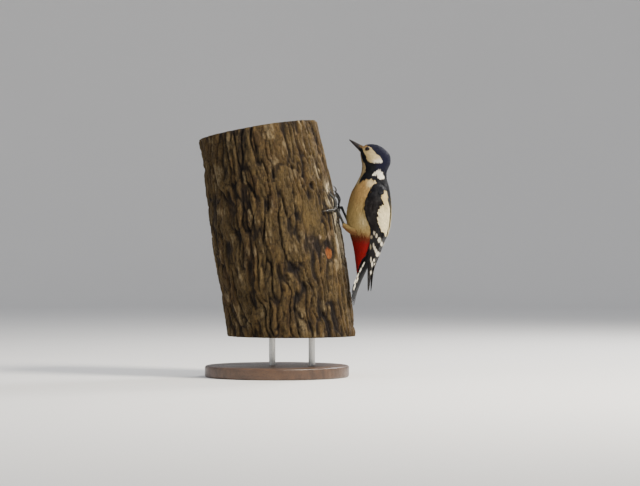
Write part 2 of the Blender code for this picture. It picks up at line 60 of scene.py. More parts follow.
STATIONS = (  # back x, z; belly x, z; half-width; crown narrowing
    (108.8, 280.1, 104.9, 272.3, 4.4, 0.0),  # feathers meet the bill
    (112.8, 282.2, 105.8, 266.8, 9.2, 0.10),  # lores
    (120.2, 282.6, 107.4, 260.6, 12.6, 0.14),  # eye and chin
    (128.6, 280.4, 107.9, 254.6, 14.0, 0.12),  # cheek
    (135.8, 275.8, 107.0, 249.6, 14.4, 0.08),  # back of the crown
    (141.8, 268.8, 105.6, 246.0, 14.2, 0.05),  # nape
    (142.2, 259.2, 103.8, 242.0, 14.0, 0.03),  # hind neck
    (137.8, 249.6, 101.4, 237.8, 14.4, 0.0),  # neck
    (137.6, 240.0, 98.4, 232.0, 16.6, 0.0),  # shoulders
    (140.8, 228.4, 94.4, 225.0, 19.2, 0.0),
    (141.8, 214.8, 90.8, 213.6, 21.2, 0.0),  # breast
    (141.4, 200.8, 88.2, 201.4, 22.0, 0.0),
    (139.8, 187.0, 88.2, 188.0, 21.4, 0.0),  # belly
    (134.8, 172.4, 91.6, 176.0, 19.0, 0.0),
    (127.2, 159.2, 95.0, 164.0, 15.8, 0.0),  # rump and vent
    (119.4, 147.6, 97.6, 152.6, 12.6, 0.0),
    (111.8, 137.4, 99.0, 141.2, 9.6, 0.0),
    (107.6, 127.8, 100.4, 129.8, 7.0, 0.0),  # under-tail coverts
    (104.2, 120.0, 101.0, 120.6, 3.0, 0.0),
)
LAST_STATION = len(STATIONS) - 1.0
HEAD_TURN, TURN_AXIS_X, TURN_FROM, TURN_TO = math.radians(-8.0), 122.0, 5.0, 8.5

EYE_RADIUS, EYE_AT = 3.4, (117.4, 9.1, 275.7)
BILL_BASE, BILL_RISE, BILL_START, BILL_LENGTH = (106.3, 276.1), math.radians(36.0), 1.1, 20.0
BILL_HALF_WIDTH, UPPER_DEPTH, LOWER_DEPTH, LOWER_REACH = 3.9, 4.3, 3.4, 0.965
BILL_TAPER, BILL_DEPTH_TAPER, BILL_TIP_HALF_WIDTH, BILL_TIP_DEPTH = 0.85, 0.9, 0.55, 0.45

WING_FRONT = (
    (126.0, 13.0, 238.5), (122.0, 18.4, 229.5), (118.8, 22.0, 217.0), (118.0, 24.0, 204.0),
    (120.2, 23.8, 191.0), (122.8, 21.0, 178.5), (121.2, 16.6, 162.0), (118.4, 12.6, 144.0),
    (116.4, 9.8, 126.0), (116.6, 8.4, 104.6),
)
WING_BACK = (
    (131.0, 9.0, 240.0), (136.6, 11.6, 230.0), (139.4, 12.0, 216.0), (140.4, 11.0, 202.0),
    (140.2, 8.8, 188.0), (138.0, 6.0, 175.0), (133.2, 3.8, 162.0), (127.6, 3.2, 146.0), (121.2, 4.6, 129.0),
    (117.4, 7.2, 104.4),
)
WING_BULGE = (1.5, 3.4, 4.6, 5.0, 4.6, 3.6, 2.6, 1.8, 1.0, 0.2)

TAIL_RIDGE = (  # x, z
    (124.4, 153.6), (117.9, 141.0), (111.6, 128.4), (105.4, 115.4), (100.0, 101.4), (96.4, 87.2),
)
TAIL_HALF_WIDTH = (6.0, 8.8, 11.2, 13.2, 14.6, 15.4)
TAIL_ARCH = (2.6, 3.4, 3.6, 3.2, 2.2, 1.2)

SIDES = {"left": -1, "right": 1}
RAISED = {"left": 0.0, "right": 3.5}
HIP, HEEL, HEEL_FOLLOWS = (108.0, 13.5, 178.0), (88.0, 12.0, 184.0), 0.6  # share of the foot's raise
ANKLE_OFF_BARK, ANKLE_Z = 5.4, 195.0
ANKLE_SIDE = {"left": math.radians(-7.0), "right": math.radians(12.0)}
TARSUS_RADIUS = 1.45
TOES = {  # length, claw length, radius, degrees outwards from straight up, height of its arch
    "inner_toe": (11.0, 7.5, 1.2, -27.0, 2.2),
    "middle_toe": (14.0, 8.5, 1.3, 13.0, 2.8),
    "outer_toe": (15.0, 8.5, 1.25, 92.0, 1.0),
    "hind_toe": (6.5, 6.5, 1.0, 232.0, 0.5),
}
TOE_ROOT_STEP, TOE_CLEAR, CLAW_ARCH, CLAW_REACH, CLAW_TIP = 4.6, 0.55, 0.36, 0.78, 0.28

# ---------------------------------------------------------------- arrays


def spline(points, where):
    """Catmull-Rom curve through points, read at station numbers: a cubic that leaves each point along the
    chord between its neighbours."""
    points = np.asarray(points, float).reshape(len(points), -1)
    where = np.asarray(where, float)
    last = len(points) - 1
    i = np.clip(where.astype(int), 0, last - 1)
    t = (where - i)[..., None]
    before, start, end, after = (points[np.clip(i + k, 0, last)] for k in (-1, 0, 1, 2))
    rise = 2 * before - 5 * start + 4 * end - after
    return start + 0.5 * t * (end - before + t * (rise + t * (3 * (start - end) + after - before)))


def curve(points, share):
    """The same curve, read at a share of the way from its first point to its last."""
    return spline(points, np.clip(share, 0, 1) * (len(points) - 1))


def ahead_of(points, share, step=0.02):
    """The way such a curve runs: from a step before a share to a step after it."""
    return curve(points, share + step) - curve(points, share - step)


def step_line(points, at):
    """A broken line through points, read at any place: straight between them."""
    xs, ys = np.array(sorted(points)).T
    return np.interp(at, xs, ys)


def smooth(x, low=0.0, high=1.0):
    """0 below low, 1 above high and a soft S between them: 3x^2 - 2x^3 of the share of the way."""
    x = np.clip((np.asarray(x, float) - low) / (high - low), 0.0, 1.0)
    return x * x * (3 - 2 * x)


def bump(x, centre, width):
    """A soft hump of height 1: e to the minus square of the distance from centre in widths."""
    return np.exp(-(((x - centre) / width) ** 2))


def unit(v):
    """Vectors of length 1 along the given ones."""
    return v / np.maximum(np.linalg.norm(v, axis=-1, keepdims=True), 1e-9)


def painted(colour, like):
    """One colour for every element of an array."""
    return np.broadcast_to(np.asarray(colour, float), (*np.shape(like), 3))


def blend(base, other, share):
    """A share of the way from one colour to the other, point by point."""
    return base + (np.asarray(other, float) - base) * np.asarray(share, float)[..., None]


LATTICE_ROWS = 256


def lattice_noise(x, y, around, seed):
    """Soft noise from -1 to 1 that repeats in x after around cells: random values on a square lattice,
    blended between the four corners of each cell by S-curves."""
    table = np.random.default_rng(seed).uniform(-1, 1, (LATTICE_ROWS, around))
    i, j = np.floor(y).astype(int), np.floor(x).astype(int)
    v, u = smooth(y - i), smooth(x - j)
    i, j = i % LATTICE_ROWS, j % around
    up, right = (i + 1) % LATTICE_ROWS, (j + 1) % around
    low = table[i, j] * (1 - u) + table[i, right] * u
    high = table[up, j] * (1 - u) + table[up, right] * u
    return low * (1 - v) + high * v


def inside(outline, x, y):
    """Which of the points lie within a closed outline: those whose ray to the right crosses it an odd
    number of times. The outline is a smooth curve through its points."""
    ring = spline([*outline, outline[0]], np.linspace(0, len(outline), 12 * len(outline), endpoint=False))
    ax, ay = ring.T
    bx, by = np.roll(ax, -1), np.roll(ay, -1)
    x, y = np.asarray(x)[..., None], np.asarray(y)[..., None]
    spans = (ay > y) != (by > y)
    crossing = ax + (y - ay) * (bx - ax) / np.where(np.abs(by - ay) < 1e-9, 1e-9, by - ay)
    return (np.sum(spans & (x < crossing), axis=-1) % 2) == 1


def turns(count, start=0.0):
    """Angles once round a circle, the last a step before the first."""
    return np.linspace(start, start + 2 * PI, count, endpoint=False)


# ---------------------------------------------------------------- meshes


def grid_faces(rows, columns):
    """Quads over rings of points numbered ring by ring, each ring closed on itself."""
    i = np.arange(rows - 1)[:, None] * columns
    j = np.arange(columns)[None, :]
    after = (j + 1) % columns
    return np.stack([i + j, i + after, i + columns + after, i + columns + j], -1).reshape(-1, 4)


def fan_faces(first, columns, middle):
    """Triangles from a ring of points that starts at the number first to the point numbered middle."""
    j = np.arange(columns)
    return np.stack([first + j, first + (j + 1) % columns, np.full(columns, middle)], -1)


def outward(points, faces):
    """The same faces, turned round if they enclose a negative volume."""
    total = 0.0
    for f in faces:
        for k in range(1, f.shape[1] - 1):
            total += np.einsum("ij,ij->", points[f[:, 0]], np.cross(points[f[:, k]], points[f[:, k + 1]]))
    return faces if total > 0 else [f[:, ::-1] for f in faces]


def closed_tube(rings):
    """Points and faces of a skin through rings of equally many points, closed by a fan at each end."""
    rows, columns = rings.shape[:2]
    points = np.concatenate([rings.reshape(-1, 3), rings[:1].mean(1), rings[-1:].mean(1)])
    low = fan_faces(0, columns, rows * columns)[:, [1, 0, 2]]
    high = fan_faces((rows - 1) * columns, columns, rows * columns + 1)
    return points, outward(points, [grid_faces(rows, columns), low, high])


def turned(profile, sides, centre=0.0):
    """A turned piece: a profile of radius and height carried round the upright axis at x = centre."""
    radius, height = np.array(profile, float).T[:, :, None]
    angle = turns(sides)
    rings = np.broadcast_arrays(centre + radius * np.cos(angle), radius * np.sin(angle), height)
    return closed_tube(np.stack(rings, -1))


def closed_band(rings):
    """Points and faces of a skin through rings of points, the last of them joined to the first."""
    rows, columns = rings.shape[:2]
    points = rings.reshape(-1, 3)
    return points, outward(points, [grid_faces(rows + 1, columns) % len(points)])


def with_ends(first, last, *values):
    """Values for the points of a closed tube: its rings' own, side by side, then one set for each end."""
    values = np.stack(np.broadcast_arrays(*values), -1)
    return np.concatenate([values.reshape(-1, values.shape[-1]), [first], [last]])


def pooled(meshes):
    """Several meshes as one. Each is its points, its faces and any sets of values for its points."""
    points, faces, *values = zip(*meshes)
    starts = np.cumsum([0, *map(len, points)])
    faces = [f + start for part, start in zip(faces, starts) for f in part]
    faces = [np.concatenate([f for f in faces if f.shape[1] == n]) for n in (3, 4)]
    return np.concatenate(points), faces, *map(np.concatenate, values)


def add_object(name, data):
    made = bpy.data.objects.new(name, data)
    bpy.context.scene.collection.objects.link(made)
    return made


def make_mesh(name, mesh, material, maps):
    """An object from points in millimetres and arrays of faces by index, with maps by their names."""
    points, faces = mesh
    corners = np.concatenate([f.ravel() for f in faces]).astype(np.int32)
    sizes = np.concatenate([np.full(len(f), f.shape[1]) for f in faces])
    data = bpy.data.meshes.new(name)
    data.vertices.add(len(points))
    data.vertices.foreach_set("co", (points * MM).astype(np.float32).ravel())
    data.loops.add(len(corners))
    data.loops.foreach_set("vertex_index", corners)
    data.polygons.add(len(sizes))
    data.polygons.foreach_set("loop_start", (np.cumsum(sizes) - sizes).astype(np.int32))
    for key, values in maps.items():
        data.uv_layers.new(name=key).uv.foreach_set("vector", values[corners].astype(np.float32).ravel())
    data.update(calc_edges=True)
    data.validate()
    data.shade_smooth()
    data.materials.append(material)
    return add_object(name, data)


def make_piece(name, mesh, material, replaces, attributes=None, maps=None):
    """A piece on the one body, with up to three values for each point under each attribute's name."""
    made = make_mesh(name, mesh, material, maps or {})
    for key, values in (attributes or {}).items():
        colour = np.zeros((len(values), 4), np.float32)
        colour[:, :values.shape[1]] = values
        colour[:, 3] = 1
        made.data.attributes.new(key, "FLOAT_COLOR", "POINT").data.foreach_set("color", colour.ravel())
    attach(made, "root")
    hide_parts(*replaces)
    return made


class Surface:
    """A sheet over two parameters p and q, sampled on a grid and read between its points by straight lines.

    It knows its normals and how many millimetres one unit of p or of q covers. The normals point towards a
    given direction, or else away from the middle of the ring over q.
    """

    def __init__(self, point, p_range, q_range, rows, columns, towards=None):
        p, q = np.linspace(*p_range, rows), np.linspace(*q_range, columns)
        self.p_range, self.q_range, self.rows, self.columns = p_range, q_range, rows, columns
        self.place = point(*np.meshgrid(p, q, indexing="ij"))
        down, over = np.gradient(self.place, p, axis=0), np.gradient(self.place, q, axis=1)
        self.along = np.linalg.norm(down, axis=-1, keepdims=True)
        self.across = np.linalg.norm(over, axis=-1, keepdims=True)
        self.normal = unit(np.cross(down, over))
        i, j = rows // 2, columns // 2
        out = self.place[i, j] - self.place[i].mean(0) if towards is None else np.array(towards)
        if self.normal[i, j] @ out < 0:
            self.normal = -self.normal

    def shares(self, p, q):
        """How far p and q are through their ranges, from 0 to 1."""
        ranges = ((p, self.p_range), (q, self.q_range))
        return ((np.asarray(value) - low) / (high - low) for value, (low, high) in ranges)

    def read(self, values, p, q, beyond=True):
        """Values between the grid's points; past its ends the last slope goes on, unless beyond is false."""
        x, y = self.shares(p, q)
        x, y = x * (self.rows - 1), y * (self.columns - 1)
        i = np.clip(np.floor(x), 0, self.rows - 2).astype(int)
        j = np.clip(np.floor(y), 0, self.columns - 2).astype(int)
        u, v = (x - i)[..., None], (y - j)[..., None]
        if not beyond:
            u, v = np.clip(u, 0, 1), np.clip(v, 0, 1)
        low = values[i, j] * (1 - v) + values[i, j + 1] * v
        high = values[i + 1, j] * (1 - v) + values[i + 1, j + 1] * v
        return low * (1 - u) + high * u

    def at(self, p, q):
        """Places and normals."""
        return self.read(self.place, p, q), unit(self.read(self.normal, p, q, beyond=False))

    def reach(self, p, q):
        """Millimetres for one unit of p and of q."""
        return self.read(self.along, p, q, False)[..., 0], self.read(self.across, p, q, False)[..., 0]


# ---------------------------------------------------------------- shader maths


class Socket:
    """A shader value that can be added, multiplied and so on; each sign adds a Math node."""

    def __init__(self, tree, link):
        self.tree, self.link = tree, link

    def maths(self, operation, *others):
        return self.tree.node("ShaderNodeMath", {"operation": operation}, dict(enumerate((self, *others))))

    def __add__(self, other):
        return self.maths("ADD", other)

    def __sub__(self, other):
        return self.maths("SUBTRACT", other)

    def __mul__(self, other):
        return self.maths("MULTIPLY", other)

    def __rsub__(self, other):
        return self.tree.node("ShaderNodeMath", {"operation": "SUBTRACT"}, {0: other, 1: self})

    __radd__, __rmul__ = __add__, __mul__


class Finish:
    """A material built node by node round one Principled shader."""

    def __init__(self, name, **constants):
        self.material = bpy.data.materials.new(name)
        self.material.use_nodes = True
        self.nodes, self.links = self.material.node_tree.nodes, self.material.node_tree.links
        self.shader = self.nodes["Principled BSDF"]
        self.set(**constants)

    def put(self, socket, value):
        """Links or sets a socket; a colour of three numbers gets its fourth here."""
        if isinstance(value, Socket):
            self.links.new(value.link, socket)
        elif socket.type == "RGBA":
            socket.default_value = (*value, 1.0)
        else:
            socket.default_value = value

    def set(self, **values):
        """Sets the shader's sockets by their names in small letters with underscores."""
        for key, value in values.items():
            wanted = key.replace("_", " ")
            self.put(next(s for s in self.shader.inputs if s.name.lower() == wanted), value)

    def node(self, kind, settings=None, inputs=None, output=0):
        """Adds a node of any kind: its settings first, then the values or links of its sockets."""
        made = self.nodes.new(kind)
        for key, value in (settings or {}).items():
            if key == "stops":
                ramp = made.color_ramp.elements
                while len(ramp) < len(value):
                    ramp.new(0.5)
                for stop, (place, colour) in zip(ramp, value):
                    stop.position, stop.color = place, (*colour, 1.0)
            else:
                setattr(made, key, value)
        for key, value in (inputs or {}).items():
            self.put(made.inputs[key], value)
        return Socket(self, made.outputs[output])

    def noise(self, scale, detail, vector=None, rough=0.5):
        vector = vector or self.node("ShaderNodeTexCoord", output="Object")
        inputs = {"Vector": vector, "Scale": scale, "Detail": detail, "Roughness": rough}
        return self.node("ShaderNodeTexNoise", {"noise_dimensions": "3D"}, inputs)

    def fibres(self, scale, detail, turned=(0.0, 0.0, 0.0), rough=0.5):
        """Noise with a scale of its own along each axis, turned by an angle about each."""
        where = self.node("ShaderNodeTexCoord", output="Object")
        inputs = {"Vector": where, "Rotation": turned, "Scale": scale}
        return self.noise(1.0, detail, self.node("ShaderNodeMapping", {}, inputs), rough)

    def ramp(self, value, *stops):
        return self.node("ShaderNodeValToRGB", {"stops": stops}, {"Fac": value})

    def grade(self, value, *ends):
        """A value carried from one span to another and held at its ends: low, high and what they become."""
        return self.node("ShaderNodeMapRange", {"clamp": True}, dict(enumerate((value, *ends))))

    def mix(self, share, a, b, blend="MIX"):
        settings = {"data_type": "RGBA", "blend_type": blend}
        return self.node("ShaderNodeMix", settings, {0: share, 6: a, 7: b}, 2)

    def layer(self, colour, value, low, high, much, other):
        """Another colour over one: none of it where a value is low, and a share much of it where high."""
        return self.mix(self.grade(value, low, high, 0.0, much), colour, other)

    def shaded(self, colour, shade):
        """A colour multiplied by one number."""
        grey = self.node("ShaderNodeCombineXYZ", {}, {0: shade, 1: shade, 2: shade})
        return self.mix(1.0, colour, grey, "MULTIPLY")

    def attribute(self, name, output="Color"):
        return self.node("ShaderNodeAttribute", {"attribute_name": name}, {}, output)

    def parts(self, vector):
        made = self.node("ShaderNodeSeparateXYZ", {}, {0: vector})
        return [Socket(self, out) for out in made.link.node.outputs]

    def marks(self, name):
        """The three values of a piece's own attribute."""
        return self.parts(self.attribute(name, "Vector"))

    def done(self, colour, rough=None, relief=None):
        """The finished material: its colour, its roughness as a value and what the value's middle span
        becomes, and its relief as a height and what that is multiplied by, in metres."""
        self.set(base_color=colour)
        if rough:
            self.set(roughness=self.grade(rough[0], 0.3, 0.7, *rough[1:]))
        if relief:
            self.set(normal=self.node("ShaderNodeBump", {}, dict(zip(("Height", "Distance"), relief))))
        return self.material


def feather_finish(name, soft, barb_rows=60.0, **constants):
    """Plumage: the piece's own colours, streaked along the barbs, glossier where they are dark."""
    made = Finish(name, **constants)
    colour = made.attribute("plumage")
    across, along, _ = made.parts(made.node("ShaderNodeUVMap", {"uv_map": "vane"}))
    from_shaft = (across - 0.5).maths("ABSOLUTE")
    barbs = ((along * 1.6 - from_shaft) * barb_rows).maths("SINE")
    wear = made.noise(900.0, 2.0)
    made.set(roughness=made.grade(made.node("ShaderNodeRGBToBW", {}, {0: colour}), 0.0, 0.25, soft, 0.85))
    shade = barbs * 0.07 + wear * 0.36 + 0.80
    return made.done(made.shaded(colour, shade), relief=(barbs * 0.5 + wear, 0.00012))


# ---------------------------------------------------------------- stage, lights and camera

TARGET = np.array([0.0507, 0.0136, 0.1631])  # metres
CAMERA_AZIMUTH, CAMERA_DISTANCE, CAMERA_LENS = 15.0, 3.0, 138.3
BACKDROP = (0.80, 0.79, 0.77)
FLOOR_RADIUS, COVE_RADIUS, WALL_TOP = 3400.0, 1200.0, 1900.0
LIGHTS = (  # name, azimuth, elevation, metres away, size, power, colour
    ("key", 70, 45, 1.5, 0.40, 52.0, (1.0, 0.94, 0.83)),
    ("fill", -40, 20, 1.9, 1.2, 6.0, (0.96, 0.97, 1.0)),
    ("rim", 150, 35, 1.6, 0.5, 26.0, (1.0, 0.98, 0.96)),
    ("top", 10, 80, 1.8, 1.2, 7.0, (1.0, 1.0, 1.0)),
)


def make_stage():
    """A round floor that curves up into a wall on every side, open at the top."""
    bend = np.linspace(0, PI / 2, 14)[1:]
    wall = FLOOR_RADIUS + COVE_RADIUS
    floor = [(radius, 0.0) for radius in np.linspace(20.0, FLOOR_RADIUS, 24)]
    cove = np.stack([FLOOR_RADIUS + COVE_RADIUS * np.sin(bend), COVE_RADIUS * (1 - np.cos(bend))], -1)
    points, (sides, middle, _) = turned([*floor, *cove, (wall, WALL_TOP - 300.0), (wall, WALL_TOP)], 96)
    paper = Finish("paper", roughness=0.95, specular_ior_level=0.2)
    darker = tuple(0.97 * c for c in BACKDROP)
    material = paper.done(paper.ramp(paper.noise(1.3, 2.0), (0.3, darker), (0.7, BACKDROP)))
    inwards = [sides[:, ::-1], middle[:, ::-1]]
    make_mesh("stage", (points[:-1], inwards), material, {})


def add_aimed(name, data, azimuth, elevation, distance):
    """Puts a light or the camera at an azimuth and elevation from the bird, looking at it."""
    a, e = math.radians(azimuth), math.radians(elevation)
    back = np.array([math.sin(a) * math.cos(e), -math.cos(a) * math.cos(e), math.sin(e)])
    made = add_object(name, data)
    made.location = TARGET + back * distance
    made.rotation_euler = Vector(-back).to_track_quat("-Z", "Y").to_euler()
    return made


def make_lights_and_camera():
    """Four square soft lights, a faint sky for the room and the camera."""
    for name, azimuth, elevation, distance, size, power, colour in LIGHTS:
        data = bpy.data.lights.new(name, "AREA")
        data.shape, data.size, data.energy, data.color = "SQUARE", size, power, colour
        add_aimed(name, data, azimuth, elevation, distance).visible_camera = False
    world = bpy.data.worlds.new("room")
    world.use_nodes = True
    sky = world.node_tree.nodes["Background"].inputs
    sky["Color"].default_value, sky["Strength"].default_value = (0.86, 0.90, 1.0, 1.0), 0.50
    bpy.context.scene.world = world
    data = bpy.data.cameras.new("camera")
    data.lens, data.clip_start, data.clip_end = CAMERA_LENS, 0.05, 30.0
    bpy.context.scene.camera = add_aimed("camera", data, CAMERA_AZIMUTH, 0.0, CAMERA_DISTANCE)


# ---------------------------------------------------------------- stem

NEAR_RADIUS = 76.0  # of the bark near the bird: millimetres round it for a radian
BARK_DEEP, BARK_HIGH = 4.6, 0.4
BARK_ROWS, BARK_COLUMNS = 214, 428
RIM_DROP, RIM_WIDTH = 0.9, 2.2  # how the bark's edges are softened at the two cuts
BARK_INSIDE = (  # share of the way up, depth and colour of the rings of its rims and inner wall
    (1.0, -4.9, (0.13, 0.062, 0.03)), (1.0, -9.0, (0.20, 0.11, 0.055)), (0.5, -9.0, (0.1, 0.06, 0.03)),
    (0.0, -9.0, (0.20, 0.11, 0.055)), (0.0, -4.9, (0.13, 0.062, 0.03)),
)
WOOD_DEPTH = 9.3
CRACKS = (  # angle, width and first share of the radius of each drying crack in the sawn ends
    (0.7, 0.012, 0.1), (2.4, 0.010, 0.35), (-1.2, 0.016, 0.05), (-2.6, 0.009, 0.5), (1.6, 0.008, 0.6),
)
PECK = (math.radians(-25.8), 151.0, 5.2, 7.6)  # angle, z and half sizes of the bared inner bark
KNOT = (math.radians(-31.8), 232.0, 5.5)
# where a strip of painted sunlight lies on the bark, near the bird's feet
SUNLIT_STRIP = (math.radians(-5.5), 192.0, 10.0, 42.0)
PLATE = (math.radians(-38.4), 192.0, 15.0, 23.0)
HOLLOW = (math.radians(-53.0), 195.0, 3.6, 5.6)
BARK_COLOURS = ((0.048, 0.026, 0.008), (0.074, 0.045, 0.015), (0.058, 0.037, 0.012), (0.094, 0.062, 0.024))
# painted shade: near black in the furrows and hollows, and round the peck's rim
FURROW_SHADE_COLOUR, SHADE_COLOUR = (0.0080, 0.0045, 0.0030), (0.012, 0.007, 0.004)
PECK_COLOUR = (0.150, 0.040, 0.007)
# pale dry ridges all round, with more of this colour as painted sunlight on the side towards the bird
DRY_AND_SUNLIT_COLOUR, PLATE_COLOUR = (0.25, 0.19, 0.105), (0.080, 0.052, 0.016)
# the strip's colour is painted sunlight; the splinters' colour is their own
SUNLIT_STRIP_COLOUR, SPLINTER_COLOUR = (0.66, 0.55, 0.36), (0.46, 0.33, 0.22)


def log_radius(share):
    return LOG_RADIUS_FOOT + (LOG_RADIUS_HEAD - LOG_RADIUS_FOOT) * share + LOG_SWELL * np.sin(PI * share) ** 2


def log_point(angle, share, lift=0.0):
    """The stem: a circle with soft lobes round a bowed, leaning axis. The angle is 0 towards the bird."""
    x = LOG_FOOT[0] + (LOG_HEAD[0] - LOG_FOOT[0]) * share + 4 * LOG_BOW * share * (1 - share)
    radius = log_radius(share) + lift
    for many, high, drift, start in LOG_LOBES:
        radius = radius + high * np.cos(many * angle + drift * share + start) * np.sin(angle / 2) ** 2
    across = radius * np.cos(angle)
    z = LOG_FOOT[1] + LOG_SPAN * share - LOG_LEAN * across * share
    return np.stack([x + across, radius * np.sin(angle), z], -1)


def ripple(angle, z, around, tall, seed, shift=0.0):
    """Noise with around cells about the stem, each tall millimetres high."""
    return lattice_noise(angle / (2 * PI) * around + shift, z / tall, around, seed)


def furrows(angle, z, wander, fine, around, tall, seed, width):
    """Furrows from 0 to 1 where a noise stretched along the stem crosses zero, so they join and part as they
    climb, and that noise."""
    x, y = angle / (2 * PI) * around + 0.75 * wander + 0.05 * fine, z / tall + 0.25 * wander
    field = lattice_noise(x, y, around, seed) + 0.45 * lattice_noise(x * 2, y * 2.3, around * 2, seed + 1)
    return 1 - smooth(np.abs(field), 0.0, width), field


def bark_grain(angle, z):
    """The bark away from its marks: its height and colour, and the noises and cross cracks they come from.

    Main furrows are split by finer ones and crossed by short cracks, and streaks roughen the ridges between.
    """
    wander = ripple(angle, z, 12, 52, 3) + 0.5 * ripple(angle, z, 30, 21, 4)
    fine = ripple(angle, z, 150, 4.6, 5) + 0.6 * ripple(angle, z, 290, 2.2, 6)
    streak = ripple(angle, z, 210, 11, 7, wander) + 0.5 * ripple(angle, z, 320, 6, 8)
    deep, field = furrows(angle, z, wander, fine, 72, 40.0, 11, 0.40)
    split, other_field = furrows(angle, z, wander, fine, 136, 19.0, 21, 0.34)
    wide, _ = furrows(angle, z, wander, fine, 30, 70.0, 31, 0.16)
    crossing = lattice_noise(angle / (2 * PI) * 80 + 3 * field, z / 5.5 + wander, 80, 41)
    cross = (1 - smooth(np.abs(crossing), 0.0, 0.16)) * (1 - deep)
    height = -0.35 - 2.7 * deep - 0.95 * split * (1 - 0.7 * deep) - 1.7 * wide - 0.45 * cross
    height = height + 0.38 * streak + 0.26 * fine + 0.55 * np.abs(field) + 0.35 * wander

    pick = np.clip(1.5 + 1.2 * ripple(angle, z, 54, 26, 51) + 0.9 * other_field + 0.3 * fine, 0, 2.999)
    table, low = np.array(BARK_COLOURS), pick.astype(int)
    colour = blend(table[low], table[low + 1], pick - low)
    colour = colour * (1 + 0.20 * np.clip(streak, -1, 1) + 0.12 * np.clip(fine, -1, 1))[..., None]
    return height, colour, wander, fine, streak, cross


def bark_relief(angle, share):
    """The bark's height over the stem's outline, mostly negative, its colour with painted sunlight and
    painted shade, and its bared places.

    The knot, the plate, the hollow, the painted sunlit strip and the pecked place are humps e^-(x/a)^n at
    their own angle and z.
    """
    z = LOG_FOOT[1] + LOG_SPAN * share
    height, colour, wander, fine, streak, cross = bark_grain(angle, z)
    tall = z - LOG_LEAN * NEAR_RADIUS * np.cos(angle) * share
    (peck_x, peck_z), (knot_x, knot_z), (sunlit_x, sunlit_z), (plate_x, plate_z), (hollow_x, hollow_z) = (
        ((angle - place[0]) * NEAR_RADIUS, tall - place[1]) for place in (PECK, KNOT, SUNLIT_STRIP, PLATE, HOLLOW))
    jagged_x, jagged_z = (peck_x + 1.5 * fine + 1.2 * streak) / PECK[2], (peck_z + 2 * fine) / PECK[3]
    peck = np.exp(-(jagged_x**4) - jagged_z**4)
    from_peck = np.hypot(peck_x / PECK[2], peck_z / PECK[3])
    rim = bump(from_peck, 1.28, 0.22)
    over = bump(peck_x, 0.0, 6.5) * bump(peck_z, 12.0, 5.0)
    torn = bump(peck_x, -5.0, 17.0) * bump(peck_z, 9.0, 14.0) * smooth(0.8 * streak + 0.6 * fine, 0.30, 0.75)
    # a pale strip on the side towards the bird: painted sunlight
    sunlit_strip = np.exp(-((sunlit_x + 2.5 * wander) / SUNLIT_STRIP[2]) ** 6 - (sunlit_z / SUNLIT_STRIP[3]) ** 6)
    from_knot = np.hypot(knot_x, knot_z * 0.8) + 0.5 * fine
    knot, heart = bump(from_knot, KNOT[2], 1.8), bump(from_knot, 0.0, 3.2)
    plate = np.exp(-((plate_x / PLATE[2]) ** 6) - ((plate_z + 0.5 * plate_x) / PLATE[3]) ** 6)
    hollow = bump(hollow_x, 0.0, HOLLOW[2]) * bump(hollow_z, 0.0, HOLLOW[3])
    height = height * (1 - 0.72 * plate) - 0.5 * plate
    height = height * (1 - peck) + peck * (0.35 * fine - 3.0)
    height = height - 1.4 * over * (1 - peck) - 3.0 * hollow + 0.8 * rim * fine
    height = height * (1 - 0.6 * knot) + 1.1 * knot - 2.4 * heart

    dry = smooth(ripple(angle, z, 34, 17, 61) + 0.5 * streak + 0.2 * fine, 0.35, 0.95)
    # side: more of the pale dry colour on the side towards the bird, as painted sunlight
    side = bump(angle, math.radians(-16.0), 0.42) * smooth(z, 150, 190)
    for other, much in (
        (DRY_AND_SUNLIT_COLOUR, np.clip(dry * (0.42 + 0.9 * side), 0, 1) * smooth(height, -2.2, -0.4)),
        (PLATE_COLOUR, 0.75 * plate),
        (SUNLIT_STRIP_COLOUR, sunlit_strip * smooth(height, -2.3, -1.0) * np.clip(0.85 + 0.5 * streak + 0.2 * fine, 0, 1)),
        (SPLINTER_COLOUR, torn),
        # near-black painted shade deep in the furrows, the hollow, the dent over the peck, the knot's heart
        # and the cross cracks
        (FURROW_SHADE_COLOUR, 1 - smooth(height, -3.6, -0.6)),
        (FURROW_SHADE_COLOUR, np.clip(hollow + 0.6 * over + 0.7 * heart + 0.4 * cross, 0, 1)),
        (SHADE_COLOUR, np.clip(rim * (0.75 + 0.5 * fine), 0, 0.9)),
    ):
        colour = blend(colour, other, much)
    lit = smooth(peck_z, 8.0, 1.0)
    # bared: how bare, lit low in the peck, and painted shade in the dent over it and in the knot's heart
    bared = np.stack([1.15 - 0.65 * from_peck, 0.35 + 0.65 * lit, over + 0.8 * heart], -1)
    return np.clip(height, -BARK_DEEP, BARK_HIGH), np.clip(colour, 0.002, 1), np.clip(bared, 0, 1)


def under_feet(angle, share):
    """How much of the relief is left: 1 far from the two feet and 0.38 where their toes rest."""
    z = LOG_FOOT[1] + LOG_SPAN * share
    left = 1.0
    for side in SIDES:
        near = np.hypot((angle - ANKLE_SIDE[side]) * NEAR_RADIUS, z - ANKLE_Z - RAISED[side])
        left = left * (1 - 0.62 * (1 - smooth(near, 14.0, 30.0)))
    return left


